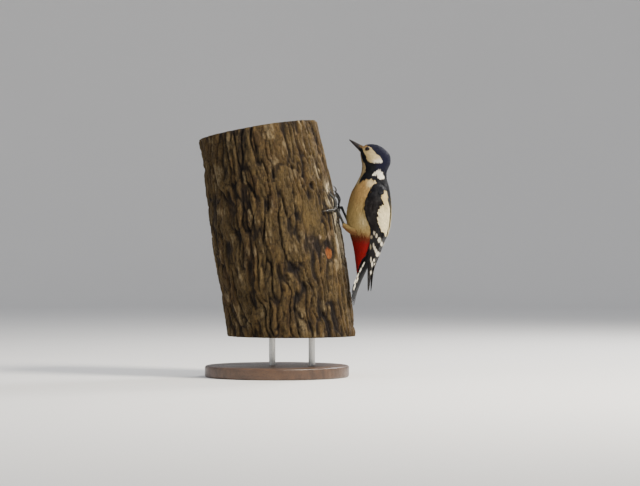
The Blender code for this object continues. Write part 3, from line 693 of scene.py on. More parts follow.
def bark_finish():
    """Fibres, grit and fine cracks over the bark's own tints, with red-brown shreds where it is pecked
    bare, and painted shade in its hollows."""
    bark = Finish("bark", specular_ior_level=0.25)
    fibre = bark.fibres((900.0, 900.0, 260.0), 4.0, rough=0.62)
    crack = bark.fibres((150.0, 150.0, 34.0), 5.0, rough=0.58)
    split = bark.fibres((430.0, 430.0, 95.0), 4.0, (0.0, 0.0, 0.4), 0.6)
    shred = bark.fibres((560.0, 560.0, 150.0), 4.0, rough=0.6)
    lines = bark.grade((crack - 0.5).maths("ABSOLUTE"), 0.0, 0.026, 1.0, 0.0)
    lines = lines * bark.grade(split, 0.36, 0.56, 0.25, 1.0)
    fine_lines = bark.grade((split - 0.5).maths("ABSOLUTE"), 0.0, 0.030, 0.85, 0.0)
    lines = lines.maths("MAXIMUM", fine_lines * bark.grade(fibre, 0.42, 0.62, 0.0, 1.0))
    shade = bark.grade(fibre, 0.28, 0.74, 0.62, 1.45) * bark.grade(crack, 0.35, 0.65, 0.80, 1.20)
    colour = bark.shaded(bark.attribute("tint"), shade * (1 - lines * 0.62))
    bare, lit, hollow_shade = bark.marks("bared")
    inner = bark.ramp(shred * 0.75 + lit * 0.5, (0.30, (0.012, 0.004, 0.002)), (0.56, (0.055, 0.014, 0.004)),
                      (0.76, PECK_COLOUR), (0.98, (0.26, 0.090, 0.022)))
    colour = bark.layer(colour, bare + shred * 0.8, 0.86, 0.98, 1.0, inner)
    # painted shade in the hollows
    colour = bark.layer(colour, hollow_shade + shred * 0.7, 0.72, 0.98, 0.92, FURROW_SHADE_COLOUR)
    height = fibre + bark.noise(2600.0, 2.0) * 0.3 - lines * 0.9 + split * 0.5
    return bark.done(colour, (fibre, 0.96, 0.80), (height, 0.0012))


def make_bark():
    """A ring-shaped shell round the stem: the bark's outside, upper rim, inner wall and lower rim."""
    angle, share = np.broadcast_arrays(turns(BARK_COLUMNS, -PI), np.linspace(0, 1, BARK_ROWS)[:, None])
    height, colour, bared = bark_relief(angle, share)
    from_end = np.minimum(share, 1 - share) * LOG_SPAN
    height = height * under_feet(angle, share) - RIM_DROP * (1 - smooth(from_end, 0.0, RIM_WIDTH))
    inner_share, inner_depth, inner_tint = (np.array(column)[:, None] for column in zip(*BARK_INSIDE))
    rings = np.concatenate([log_point(angle, share, height), log_point(angle[:1], inner_share, inner_depth)])
    tints = np.concatenate([colour, np.repeat(inner_tint, BARK_COLUMNS, 1)])
    bares = np.concatenate([bared, np.zeros((len(BARK_INSIDE), BARK_COLUMNS, 3))])
    make_piece("stem_bark", closed_band(rings), bark_finish(), ["perch_log"],
               {"tint": tints.reshape(-1, 3), "bared": bares.reshape(-1, 3)})


def cut_wood_finish():
    """Sawn wood: year rings round a dark heart, drying cracks and the marks of the saw."""
    cut = Finish("cut_wood", roughness=0.72, specular_ior_level=0.3)
    out, cracked, _ = cut.marks("rings")
    year = (out * 17.0 + cut.noise(34.0, 3.0) * 1.6).maths("FRACT")
    saw_marks = cut.fibres((1500.0, 90.0, 90.0), 2.0, (0.0, 0.0, 0.5))
    colour = cut.ramp(year, (0.0, (0.46, 0.29, 0.155)), (0.62, (0.40, 0.24, 0.12)),
                      (0.93, (0.24, 0.125, 0.055)), (1.0, (0.44, 0.27, 0.14)))
    heart = cut.ramp(out, (0.0, (0.20, 0.10, 0.05)), (0.34, (0.55, 0.42, 0.30)), (0.42, (1, 1, 1)))
    colour = cut.mix(0.75, colour, heart, "MULTIPLY")
    colour = cut.layer(colour, cracked, 0.0, 1.0, 0.92, (0.05, 0.026, 0.014))
    colour = cut.layer(colour, saw_marks, 0.4, 0.7, 0.28, (0.22, 0.13, 0.07))
    return cut.done(colour, relief=(saw_marks + year * 0.4, 0.0005))


def make_wood():
    """The wood inside: a stack of rings from the middle of one sawn end to the middle of the other."""
    steps = np.concatenate([np.linspace(0.02, 1, 30), np.ones(6), np.linspace(1, 0.02, 30)])[:, None]
    heights = np.concatenate([np.zeros(30), np.linspace(0.02, 0.98, 6), np.ones(30)])[:, None]
    angle = turns(160, -PI)[None, :]
    crack = sum(bump(np.angle(np.exp(1j * (angle - at))) * steps, 0, width) * smooth(steps, start, 0.95)
                for at, width, start in CRACKS)
    dish = 0.25 - 1.3 * crack - 0.10 * lattice_noise(*np.broadcast_arrays(steps * 30, angle * 3), 64, 31)
    outer, middle = (log_point(angle, heights, depth) for depth in (-WOOD_DEPTH, -log_radius(heights)))
    wood = middle + (outer - middle) * steps[..., None]
    on_end = (np.abs(heights - 0.5) > 0.49) & (steps <= 0.985)
    wood[..., 2] += np.where(heights > 0.5, 1, -1) * dish * on_end
    marks = with_ends((0, 0), (0, 0), steps, np.clip(crack, 0, 1))
    make_piece("stem_wood", closed_tube(wood), cut_wood_finish(), ["perch_log"], {"rings": marks})


# ---------------------------------------------------------------- stand


def varnish_finish():
    """Dark wood with a grain and fine pores along it, under a thin coat."""
    wood = Finish("stand_wood", coat_weight=0.25, coat_roughness=0.25)
    grain = wood.fibres((14.0, 170.0, 60.0), 4.0, (0.0, 0.0, 0.35), 0.6)
    pores = wood.fibres((120.0, 2600.0, 900.0), 2.0, (0.0, 0.0, 0.35))
    colour = wood.ramp(grain, (0.25, (0.030, 0.014, 0.008)), (0.5, (0.070, 0.034, 0.017)),
                       (0.75, (0.115, 0.060, 0.030)))
    colour = wood.layer(colour, pores, 0.55, 0.72, 0.6, (0.016, 0.008, 0.005))
    return wood.done(colour, (grain, 0.50, 0.36), (pores * -1.0 + grain * 0.3, 0.00035))


def steel_finish():
    """Satin steel with fine lines round it, as turning leaves them."""
    steel = Finish("stand_steel", metallic=1.0)
    lines = steel.fibres((60.0, 60.0, 4200.0), 2.0)
    colour = steel.ramp(lines, (0.3, (0.42, 0.42, 0.41)), (0.7, (0.50, 0.50, 0.49)))
    return steel.done(colour, (lines, 0.26, 0.36), (lines, 0.000008))


def make_stand():
    """A flat round base with a softened rim, and two rods that carry the stem."""
    bend = np.linspace(0, PI / 2, 9)
    inset, softened = BASE_RADIUS - BASE_EDGE, BASE_EDGE * np.stack([np.sin(bend), np.cos(bend)], -1)
    foot = (inset, BASE_EDGE) + softened * (1, -1)
    top = (inset, BASE_THICK - BASE_EDGE) + softened[:, ::-1]
    profile = [(0.5, 0.0), (40.0, 0.0), *foot, *top, *((r, BASE_THICK) for r in (60.0, 30.0, 0.5))]
    make_piece("stand_base_turned", turned(profile, 160), varnish_finish(), ["stand_base"])
    steel = steel_finish()
    end = ((0.3, 0.0), (ROD_RADIUS - ROD_EDGE, 0.0), (ROD_RADIUS, ROD_EDGE))
    profile = [(r, ROD_FROM + edge) for r, edge in end] + [(ROD_RADIUS, z) for z in (13.9, 30.0, 48.0)]
    profile += [(r, ROD_TO - edge) for r, edge in end[::-1]]
    for name, step in (("stand_rod_1", -0.5), ("stand_rod_2", 0.5)):
        rod = turned(profile, 48, LOG_FOOT[0] + step * ROD_SPACING)
        make_piece(name + "_turned", rod, steel, [name])

# ---------------------------------------------------------------- plumage colours

# the crown's black carries a painted blue-violet sheen
BLACK, CROWN_SHEEN_BLACK = (0.0038, 0.0040, 0.0060), (0.0055, 0.0058, 0.0190)
WING_BROWN = (0.0060, 0.0042, 0.0040)
WHITE, SCAPULAR_WHITE, CREAM = (0.80, 0.74, 0.60), (0.70, 0.60, 0.36), (0.56, 0.44, 0.23)
# the cheek's colour is its own buff, darkened by painted shade
CHEEK_BUFF_AND_SHADE, FOREHEAD, THROAT = (0.40, 0.295, 0.135), (0.30, 0.18, 0.07), (0.38, 0.28, 0.14)
# painted shade: brown for the dim wing spots, buff for the top of the shoulder patch
SPOT_SHADE, PATCH_TOP_SHADE = (0.16, 0.115, 0.055), (0.47, 0.365, 0.175)
BREAST, BELLY, FLANK = (0.29, 0.176, 0.062), (0.37, 0.255, 0.092), (0.62, 0.49, 0.25)
RUST, CRIMSON, DEEP_RED = (0.105, 0.020, 0.006), (0.195, 0.0036, 0.0044), (0.10, 0.003, 0.004)

# Outlines in side view of the left side: m is x + y tan 15 degrees, then height.
FACE = (
    (107.4, 275.8), (106.5, 280.4), (112.4, 281.4), (114.0, 280.0), (116.6, 279.2), (118.8, 276.9),
    (121.4, 273.6), (124.2, 270.5), (127.3, 268.4), (130.0, 266.0), (131.6, 263.2), (131.0, 260.2),
    (125.0, 260.0), (118.7, 260.2), (114.9, 260.7), (112.8, 263.5), (112.2, 266.6), (110.5, 269.6),
    (108.4, 272.9),
)
NECK_PATCH = (
    (119.0, 245.8), (121.2, 247.4), (123.8, 249.6), (126.6, 251.6), (129.5, 251.0), (131.4, 249.0),
    (133.2, 246.4), (134.4, 243.0), (133.7, 241.0), (130.1, 240.4), (127.0, 241.6), (124.8, 243.6),
    (121.8, 244.4),
)
SCAPULAR_PATCH = (
    (134.2, 226.9), (132.6, 220.8), (132.9, 211.0), (134.5, 204.9), (131.5, 200.0), (128.8, 195.2),
    (128.2, 187.9), (128.6, 180.6), (130.1, 175.7), (134.3, 167.1), (138.3, 174.4), (140.8, 179.3),
    (141.8, 185.4), (141.0, 194.0), (140.2, 202.5), (138.9, 211.0), (137.7, 220.8),
)
# Edges in the same view: height and m of the moustache's front, m and height of the breast's top, height and
# m of the red's rear.
MOUSTACHE = ((274.5, 104.6), (268.4, 105.6), (262.3, 107.2), (256.2, 111.0), (250.1, 111.1), (245.2, 107.4),
             (241.5, 105.0), (236.6, 103.0), (228.0, 101.0))
BREAST_TOP = ((98.0, 232.0), (104.8, 236.6), (108.6, 238.5), (113.7, 239.9), (117.5, 240.3), (121.2, 238.6),
              (125.0, 235.6), (131.0, 226.0), (145.0, 214.0))
RED_EDGE = ((120.8, 99.8), (129.3, 101.7), (139.1, 104.8), (145.2, 108.6), (151.3, 112.4), (162.2, 115.6),
            (172.0, 122.0), (182.0, 128.0))
SLANT = math.tan(math.radians(15.0))


def turn(points, share=1.0):
    """Points turned about the head's upright axis by a share of its angle."""
    angle = HEAD_TURN * share
    x, y = points[..., 0] - TURN_AXIS_X, points[..., 1]
    cos, sin = np.cos(angle), np.sin(angle)
    return np.stack([TURN_AXIS_X + x * cos - y * sin, x * sin + y * cos, points[..., 2]], -1)


def body_point(p, q, grow=0.0):
    """The body at station p and angle q, 0 along the back and pi along the belly: an egg-shaped ring that
    joins the back and belly lines, with its half-width narrowed towards the crown, turned with the head."""
    row = spline(STATIONS, p)
    back, belly = row[..., 0:2], row[..., 2:4]
    half = (back - belly) / 2
    grow = np.asarray(grow, float)
    middle = (back + belly) / 2 + np.cos(q)[..., None] * (half + unit(half) * grow[..., None])
    wide = (row[..., 4] + grow) * np.sin(q) * (1 - row[..., 5] * np.cos(q))
    return turn(np.stack([middle[..., 0], wide, middle[..., 1]], -1), 1 - smooth(p, TURN_FROM, TURN_TO))


def side_view(place):
    """m and height of points of the left side."""
    return place[..., 0] + place[..., 1] * SLANT, place[..., 2]


def wing_view(place):
    """m and height of points of either wing."""
    return place[..., 0] - np.abs(place[..., 1]) * SLANT, place[..., 2]


def shoulder_white_and_shade(z):
    """The white of the shoulder patch at a height: a darker buff painted shade where it starts, clean towards
    its lower tip.
    """
    return blend(painted(PATCH_TOP_SHADE, z), SCAPULAR_WHITE, smooth(z, 218, 196))


def body_colour(p, q):
    """The markings of head and body as a function of station and angle, the same on both sides, with a
    painted sheen on the crown and painted shade on the cheek and the shoulder patch's top.
    """
    p, q = np.asarray(p, float), np.abs(np.asarray(q, float))
    place = body_point(p, -q)
    m, z = side_view(place)
    # black, with a painted blue-violet sheen over the top of the head and nape
    colour = blend(painted(BLACK, p), CROWN_SHEEN_BLACK, smooth(p, 8.0, 6.0) * smooth(q, 1.45, 1.05))
    below = z < step_line(BREAST_TOP, m)
    chest = (z > 226) & (m < 124.5) & (q > 0.6)
    breast = below & ((q > 0.9 + 0.5 * smooth(p, 9.5, 8.0)) | (p > 13.5) | chest)
    under = blend(painted(BREAST, p), BELLY, smooth(z, 226, 196))
    under = blend(under, FLANK, 0.85 * bump(m, 108.7, 6.0) * bump(z, 190, 7.0))
    under = blend(under, CREAM, 0.8 * smooth(m, 110, 116) * smooth(z, 227, 233))
    under = blend(under, RUST, smooth(z, 183.5 - 0.16 * (m - 90), 171.0 - 0.10 * (m - 90)))
    under = blend(under, CRIMSON, smooth(z, 171.5 - 0.10 * (m - 90), 163.5 - 0.10 * (m - 90)))
    colour = np.where(breast[..., None], under, colour)
    rear = (z < 182) & (m > step_line(RED_EDGE, z)) & (q < 2.95)
    colour = blend(colour, BLACK, rear)
    throat = (p < 8.2) & ((m < step_line(MOUSTACHE, z)) | (q > 2.86)) & (q > 1.6) & ~below
    colour = blend(colour, THROAT, throat)
    face = (p < 6.5) & (q < 2.75) & inside(FACE, m, z)
    # the cheek: its own buff, darkened at the front as painted shade, paling to cream and white towards the
    # rear
    front = blend(painted(CHEEK_BUFF_AND_SHADE, p), CREAM, smooth(m, 112, 124))
    front = blend(front, WHITE, smooth(z - 0.25 * (m - 124), 266, 261) * smooth(m, 116, 126))
    front = blend(front, FOREHEAD, smooth(z, 276.4, 278.9) * smooth(m, 115.5, 112.5))
    colour = np.where(face[..., None], front, colour)
    colour = blend(colour, FOREHEAD, (p < 1.15) & (q < 1.2))
    colour = blend(colour, WHITE, (p > 4.5) & (p < 9) & (q < 2.6) & inside(NECK_PATCH, m, z))
    shoulder = inside(SCAPULAR_PATCH, m, z) & (p > 8.5) & (p < 14.5) & (q < 1.25)
    shoulder &= np.abs(place[..., 1]) > 3.8
    return blend(colour, shoulder_white_and_shade(z), shoulder)


# ---------------------------------------------------------------- feathers

VANE_RINGS, TUFT_RINGS = (0.0, 0.28, 0.52, 0.70, 0.84, 0.94), (0.0, 0.38, 0.66, 0.88)
PATCH = 0.003  # size of a feather's patch on the map
MAP_EDGE = 0.02  # left bare round the map


def vane_shape(rings, half, depth, tip, point, camber):
    """The points of vanes, ring by ring and then the tip: shares of the length, millimetres aside, and above
    the surface. A ring has two edges, a raised shaft and an underside. The width swells from the root and
    rounds off as the square root of one minus a power of the way through the tip."""
    s, count = np.array(rings), len(half)
    taper = np.sqrt(1 - np.clip((s - point) / (1.03 - point), 0, 1) ** 2.2)
    wide = half * (0.35 + 0.65 * smooth(s, 0.0, 0.45)) * taper
    rise = tip - (tip + depth) * (1 - s) ** 1.35
    none = np.zeros_like(wide)
    aside = np.concatenate([np.stack([-wide, none, wide, none], -1).reshape(count, -1), none[:, :1]], 1)
    ridge = np.stack([none, camber * wide, none, none - 0.08 - 0.02 * half], -1).reshape(count, -1)
    return np.append(np.repeat(s, 4), 1.0), aside, np.concatenate([np.repeat(rise, 4, 1) + ridge, tip], 1)


def vanes(surface, roots, sizes, lie, plumage, point=0.5, camber=0.12, rings=VANE_RINGS):
    """Feathers laid on a surface, all as one mesh, with colours and places on the two maps for every point.

    Each is a closed vane. Sizes are its length and half-width. Its lie is how far it starts under the
    surface, how far its tip is above it, and its heading off the surface's p.
    """
    p, q = roots
    count, corners, last = len(p), 4 * len(rings), 4 * len(rings) - 4
    length, half, depth, tip, yaw = (np.broadcast_to(value, count)[:, None] for value in (*sizes, *lie))
    s, aside, lift = vane_shape(rings, half, depth, tip, point, camber)
    along, across = surface.reach(p, q)
    forward = s * length * np.cos(yaw) - aside * np.sin(yaw)
    sideways = s * length * np.sin(yaw) + aside * np.cos(yaw)
    place, normal = surface.at(p[:, None] + forward / along[:, None], q[:, None] + sideways / across[:, None])
    points = (place + normal * lift[..., None]).reshape(-1, 3)
    start = np.arange(count)[:, None, None] * (corners + 1)
    one = grid_faces(len(rings), 4), np.array([[0, 3, 2, 1]]), fan_faces(last, 4, corners)
    faces = [(part + start).reshape(-1, part.shape[1]) for part in one]
    shown = 0.72 * length[:, 0]
    colour = plumage(p + shown * np.cos(yaw[:, 0]) / along, q + shown * np.sin(yaw[:, 0]) / across)
    mottle = 1 + 0.10 * draw.standard_normal((count, 1, 1))
    tone = colour[:, None, :] * mottle * (0.72 + 0.28 * smooth(s, 0.1, 0.7))[:, None]
    v, u = (MAP_EDGE + (1 - 2 * MAP_EDGE) * share[:, None] for share in surface.shares(p, q))
    from_shaft = aside / np.maximum(half, 1e-6)
    patch = np.stack([u + PATCH * 0.5 * from_shaft, v + PATCH * (s - 0.5)], -1)
    vane = np.stack(np.broadcast_arrays(0.5 + 0.5 * from_shaft, s), -1)
    tone = np.clip(tone, 0.002, 1).reshape(-1, 3)
    return points, outward(points, faces), tone, patch.reshape(-1, 2), vane.reshape(-1, 2)


def make_feathers(name, batches, finish, replaces, rim=0.01, pointed=True):
    """One piece from sets of feathers, with the two edges of every vane kept sharp: the points more than
    rim from its shaft, and on to its tip where it is pointed."""
    points, faces, tones, patches, flats = pooled(batches)
    maps = {"OFBake": patches, "vane": flats}
    data = make_piece(name, (points, faces), finish, replaces, {"plumage": tones}, maps).data
    edges = np.empty(2 * len(data.edges), np.int32)
    data.edges.foreach_get("vertices", edges)
    side, along = np.abs(flats[edges, 0] - 0.5).reshape(-1, 2), flats[edges, 1].reshape(-1, 2)
    sharp = side.min(1) > rim
    if pointed:
        sharp = (sharp | ((side.max(1) > rim) & (along.max(1) > 0.999))) & (along[:, 0] != along[:, 1])
    data.attributes.new("sharp_edge", "BOOLEAN", "EDGE").data.foreach_set("value", sharp)


def scatter(surface, p_range, q_range, gap, keep=None):
    """Roots spread evenly over part of a surface: places drawn at random are kept in turn unless an earlier
    one lies nearer than gap millimetres."""
    tries = 9  # for every square of gap by gap
    along, across = surface.reach(*np.meshgrid(np.linspace(*p_range, 12), np.linspace(*q_range, 12)))
    density = along * across
    extent = (p_range[1] - p_range[0]) * (q_range[1] - q_range[0])
    count = int(tries * extent * density.max() / gap**2)
    p, q = draw.uniform(*p_range, count), draw.uniform(*q_range, count)
    along, across = surface.reach(p, q)
    stays = draw.random(count) < along * across / density.max()
    if keep is not None:
        stays &= keep(p, q)
    p, q = p[stays], q[stays]
    place = surface.at(p, q)[0]
    cells = np.floor(place / gap).astype(int)
    steps = [(a, b, c) for a in (-1, 0, 1) for b in (-1, 0, 1) for c in (-1, 0, 1)]
    taken, chosen = {}, []
    for i, ((x, y, z), at) in enumerate(zip(cells.tolist(), place.tolist())):
        near = (taken.get((x + a, y + b, z + c)) for a, b, c in steps)
        if all(other is None or math.dist(other, at) > gap for other in near):
            taken[x, y, z] = at
            chosen.append(i)
    return p[chosen], q[chosen]


def vary(count, middle, spread):
    """A number for each feather, spread about a middle as a bell curve cut off at two spreads."""
    return middle * (1 + spread * np.clip(draw.standard_normal(count), -2, 2))


def bell(count, spread):
    """A number for each feather, spread about 0 as a bell curve."""
    return spread * draw.standard_normal(count)


# ---------------------------------------------------------------- skin and coat

SKIN_DEPTHS = ((0, 0.35), (1, 0.7), (3, 1.1), (5, 1.5), (7, 1.9), (9, 2.6), (12, 2.9), (15, 2.3), (18, 1.0))
THIGH_RADII, THIGH_SKIN_DEPTH = (7.6, 6.4, 4.6, 3.3), 1.3
LID_ROOM = 2.75  # from an eye's axis to the tips of the nearest feathers
GAZE = (-0.22, 0.97, 0.10)  # along x, outwards and upwards, before the head turns
FAR = 99.0
FLESH = ["head", "neck", "torso", "rump", "leg_left_thigh", "leg_right_thigh"]
ROUND = (-1.15 * PI, 1.15 * PI)
BODY = Surface(body_point, (0.0, LAST_STATION), ROUND, 480, 320)


def coat_depth(p):
    """How far the skin lies under the feathers' outline: least on the face, most on breast and belly."""
    return step_line(SKIN_DEPTHS, p)


def eye_frame(sign):
    """Centre of an eye and three directions: out of the head, upwards and backwards."""
    centre = turn(np.array([EYE_AT[0], sign * EYE_AT[1], EYE_AT[2]]))
    ahead, outwards, upwards = GAZE
    out = turn(np.array([TURN_AXIS_X + ahead, sign * outwards, upwards])) - np.array([TURN_AXIS_X, 0, 0])
    out = unit(out)
    up = unit(np.array([0.0, 0.0, 1.0]) - out * out[2])
    return centre, (out, up, np.cross(up, out))


def eye_room(p, q):
    """How far points of the body are from the nearer eye's axis, and how long a feather rooted there may be
    before it touches the lids: the way along the body to a circle round that axis."""
    place = body_point(p, q)
    ahead = unit(body_point(p + 0.05, q) - place)
    apart, free = np.full(np.shape(p), FAR), np.full(np.shape(p), FAR)
    for sign in SIDES.values():
        centre, (out, _, _) = eye_frame(sign)
        level = (place - centre) @ out
        aside = place - centre - out * level[..., None]
        far = np.where(level > 0, np.linalg.norm(aside, axis=-1), FAR)
        along = np.sum(aside * ahead, -1)
        miss = np.clip(far**2 - along**2, 0, None)
        way = -along - np.sqrt(np.clip(LID_ROOM**2 - miss, 0, None))
        free = np.where((along < 0) & (miss < LID_ROOM**2) & (far < 20), way, free)
        apart = np.minimum(apart, far)
    return apart, free


def heel_point(side):
    """Where the feathered thigh ends, raised by a share of what its foot is raised by."""
    return np.array([HEEL[0], SIDES[side] * HEEL[1], HEEL[2] + RAISED[side] * HEEL_FOLLOWS])


def thigh_point(side, grow=0.0):
    """A round tube along a curve from the hip past a bend to the heel; its radius shrinks on the way."""
    sign, heel = SIDES[side], heel_point(side)
    hip = np.array([HIP[0] + 1.0, sign * (HIP[1] - 3.0), HIP[2]])
    bend = (hip + heel) / 2 + np.array([-1.0, sign * 1.5, -2.0])
    line = [hip, bend, heel + unit(bend - heel) * 0.2]

    def point(p, q):
        ahead = unit(ahead_of(line, p))
        over = unit(np.cross(ahead, np.array([0.0, 0.0, 1.0])))
        up = np.cross(over, ahead)
        radius = curve(THIGH_RADII, p) + grow
        return curve(line, p) + radius * (over * np.sin(q)[..., None] + up * np.cos(q)[..., None])

    return point


def thigh_colour(p, q):
    """The belly's buff, rusty underneath."""
    return blend(painted(BELLY, p) * 0.8, RUST, 0.75 * smooth(np.cos(q), 0.6, -0.7))


def make_skin():
    """The body's ring surface drawn in by the depth of the coat, with both thighs, as one skin."""
    p, q = np.meshgrid(np.linspace(0.02, LAST_STATION - 0.05, 240), turns(132, -PI), indexing="ij")
    lid_rise = 0.85 * smooth(eye_room(p, q)[0], 5.0, 3.4)
    tones = np.concatenate([body_colour(p, q).reshape(-1, 3), [FOREHEAD, DEEP_RED]])
    shells = [(*closed_tube(body_point(p, q, -coat_depth(p) * (1 - lid_rise))), tones)]
    p, q = np.meshgrid(np.linspace(0, 1, 24), turns(28, -PI), indexing="ij")
    for side in SIDES:
        points, faces = closed_tube(thigh_point(side, -THIGH_SKIN_DEPTH)(p, q))
        shells.append((points, faces, painted(BELLY, points[:, 0])))
    points, faces, tones = pooled(shells)
    down = Finish("skin_and_down", roughness=0.9, specular_ior_level=0.2)
    fluff = down.noise(1400.0, 3.0)
    shade = down.grade(fluff, 0.3, 0.7, 0.7, 1.15)
    down = down.done(down.shaded(down.attribute("plumage"), shade), relief=(fluff, 0.0004))
    tones = np.clip(tones * 0.7, 0.002, 1)
    make_piece("skin", (points, faces), down, FLESH, {"plumage": tones})
    return down


def make_coat(name, finish, node, gap, stations, length, half, angles=(-PI, PI), tip=0.0, point=0.35,
              spread=0.14, yaw=0.12, rings=TUFT_RINGS, eye_gap=(4.4, math.inf), least=1.4, from_back=0.0,
              root=None):
    """Feathers over a span of the body, as one piece.

    Length and half-width are each a pair a, b of a + b p at station p, and no feather reaches the eyelids.
    Feathers keep within eye_gap of an eye's axis, and where the lids would leave one shorter than least
    there is none.
    """
    def keep(p, q):
        apart, free = eye_room(p, q)
        return (apart > eye_gap[0]) & (apart < eye_gap[1]) & (free > least) & (np.abs(q) >= from_back)

    p, q = scatter(BODY, stations, angles, gap, keep)
    count, depth = len(p), coat_depth(p) if root is None else root
    yaw = bell(count, yaw)
    sizes = (np.minimum(length[0] + length[1] * p, eye_room(p, q)[1]) * vary(count, 1.0, spread),
             (half[0] + half[1] * p) * vary(count, 1.0, spread))
    batch = vanes(BODY, (p, q), sizes, (depth, tip + bell(count, 0.12), yaw), body_colour, point, rings=rings)
    make_feathers(name, [batch], finish, [node])


def make_coats(plush, silky):
    """Every contour feather of head, neck, body and thighs, smallest on the face."""
    make_coat("coat_face", plush, "head", 0.60, (0.12, 2.2), (2.4, 0.9), (0.36, 0.05),
              tip=-0.05, yaw=0.08, point=0.3)
    make_coat("coat_eye_rings", plush, "head", 0.40, (1.0, 3.4), (1.9, 0.0), (0.27, 0.0),
              (-2.2, 2.2), tip=0.02, yaw=0.06, point=0.3, eye_gap=(LID_ROOM + 0.12, 5.6), least=0.75,
              root=0.28)
    make_coat("coat_head", plush, "head", 0.72, (2.0, 6.2), (2.7, 0.75), (0.40, 0.06),
              tip=-0.02, yaw=0.09)
    make_coat("coat_neck", plush, "neck", 1.05, (6.0, 9.0), (1.8, 0.8), (0.95, 0.0), yaw=0.1)
    make_coat("coat_underparts", silky, "torso", 1.2, (8.6, 14.2), (5.9, 0.4), (0.95, 0.0),
              point=0.3, yaw=0.13, spread=0.18, from_back=1.0)
    make_coat("coat_mantle", plush, "torso", 2.1, (8.6, 14.2), (10.5, 0.0), (2.5, 0.0),
              (-1.35, 1.35), yaw=0.1, point=0.5, rings=VANE_RINGS)
    make_coat("coat_vent", silky, "rump", 1.7, (13.8, 17.3), (18.9, -0.6), (1.7, 0.0),
              point=0.4, rings=VANE_RINGS)
    for side in SIDES:
        leg = Surface(thigh_point(side), (0.0, 1.0), ROUND, 60, 60)
        p, q = scatter(leg, (0.0, 0.97), (-PI, PI), 1.3)
        count = len(p)
        sizes = vary(count, 6.2, 0.15) * (1.1 - 0.55 * p), 1.0
        tufts = vanes(leg, (p, q), sizes, (1.0, bell(count, 0.1), bell(count, 0.12)), thigh_colour, 0.35)
        make_feathers(f"coat_{side}_thigh", [tufts], silky, [f"leg_{side}_thigh"])

# ---------------------------------------------------------------- wings and tail

# White spots of the folded wing in side view: m, height, half width, half height and how white they are; the
# rest of each is a brown painted shade, most towards the top and front.
SPOTS = (
    (118.3, 170.1, 1.4, 2.1, 0.15), (117.2, 158.4, 0.9, 3.0, 0.12), (121.8, 175.7, 1.2, 2.9, 0.42),
    (124.7, 171.8, 1.3, 2.5, 0.60), (128.3, 166.6, 2.1, 2.9, 0.95), (131.0, 162.2, 1.4, 2.8, 1.0),
    (120.9, 160.3, 0.9, 2.6, 0.55), (122.4, 156.9, 1.1, 2.3, 0.75), (124.0, 153.9, 1.3, 2.5, 0.95),
    (126.4, 149.7, 2.5, 2.9, 1.0), (117.8, 143.0, 0.8, 3.2, 0.70), (119.3, 137.7, 1.1, 3.3, 0.95),
    (121.7, 142.4, 1.0, 1.8, 0.95), (122.9, 136.6, 1.0, 2.5, 0.90), (117.9, 127.5, 0.8, 2.4, 0.85),
    (119.3, 123.4, 0.8, 2.7, 0.95), (120.6, 127.2, 0.8, 2.3, 0.7),
)
COVERT_ROWS = (  # range along the wing and across it; gap, length, half-width and height of the feathers
    ((0.0, 0.22), (-0.03, 1.0), 1.9, 6.0, 1.6, -0.25),
    ((0.20, 0.34), (-0.02, 0.95), 2.3, 9.5, 2.1, -0.15),
    ((0.33, 0.43), (0.0, 0.86), 2.5, 14.0, 2.5, -0.05),
)
COVERT_DEPTH, WING_DOWN_DEPTHS = 2.0, (2.3, 2.9)
PRIMARY_REACH = (0.915, 0.97, 1.0, 0.985, 0.955, 0.92, 0.885)  # of the wing's length, from the outermost
TERTIAL_REACH = (0.735, 0.68, 0.62)
COLUMNS = np.array([-1.0, -0.82, -0.62, -0.40, -0.20, -0.08, 0.0, 0.08, 0.35, 0.68, 1.0])
UNDER = np.array([0.5, 0.0, -0.5])
ACROSS = np.concatenate([COLUMNS, UNDER])  # places round a long feather's section, as shares of its webs
QUILL_RIM = 0.49
TAIL_BARS = ((0.47, 1.2), (0.60, 1.3), (0.73, 1.4), (0.88, 1.4))  # place and half length of the black bars
LIGHT_FROM = (2.0, 2.0, 0.90, 0.60, 0.30, 0.30)  # where each feather turns white, the middle ones nowhere


def wing_point(side):
    """The folded wing: straight lines from its front edge to its back edge, swelling outwards in between as
    4w(1 - w). t runs from the shoulder to the tip and w from front to back."""
    def point(t, w):
        front, back = curve(WING_FRONT, t), curve(WING_BACK, t)
        out = unit(np.cross(ahead_of(WING_FRONT, t), unit(back - front)))
        out = out * np.sign(out[..., 1:2])
        w = w[..., None]
        place = front + (back - front) * w + out * curve(WING_BULGE, t) * 4 * w * (1 - w)
        return place * np.array([1.0, SIDES[side], 1.0])

    return point


def quill_shape(s, webs, point, sharp):
    """How far the points of long feathers are aside of their shafts and above their webs, for each place
    along and round them. The edges swell from the root, are notched here and there, and close in near the tip
    as a root of one minus a power."""
    point = point[:, None]
    taper = np.clip(1 - np.clip((s - point) / (1.004 - point), 0, 1) ** sharp, 0, 1) ** 0.55
    swell = (0.3 + 0.7 * smooth(s, 0.0, 0.25)) * taper
    x = np.where(ACROSS < 0, webs[0][:, None, None], webs[1][:, None, None]) * ACROSS * swell[..., None]
    notch = 0.10 * np.abs(lattice_noise(s * 40 + np.arange(len(point))[:, None] * 7.3, s * 3, 256, 41))
    x = x * (1 - notch[..., None] * (np.abs(ACROSS) > 0.9))
    shaft = 0.20 * (1 - 0.75 * s)[..., None]
    below = np.arange(len(ACROSS)) >= len(COLUMNS)
    return x, np.where(below, -0.10, 0.0) + shaft * (ACROSS == 0.0) * np.where(below, -1, 1)


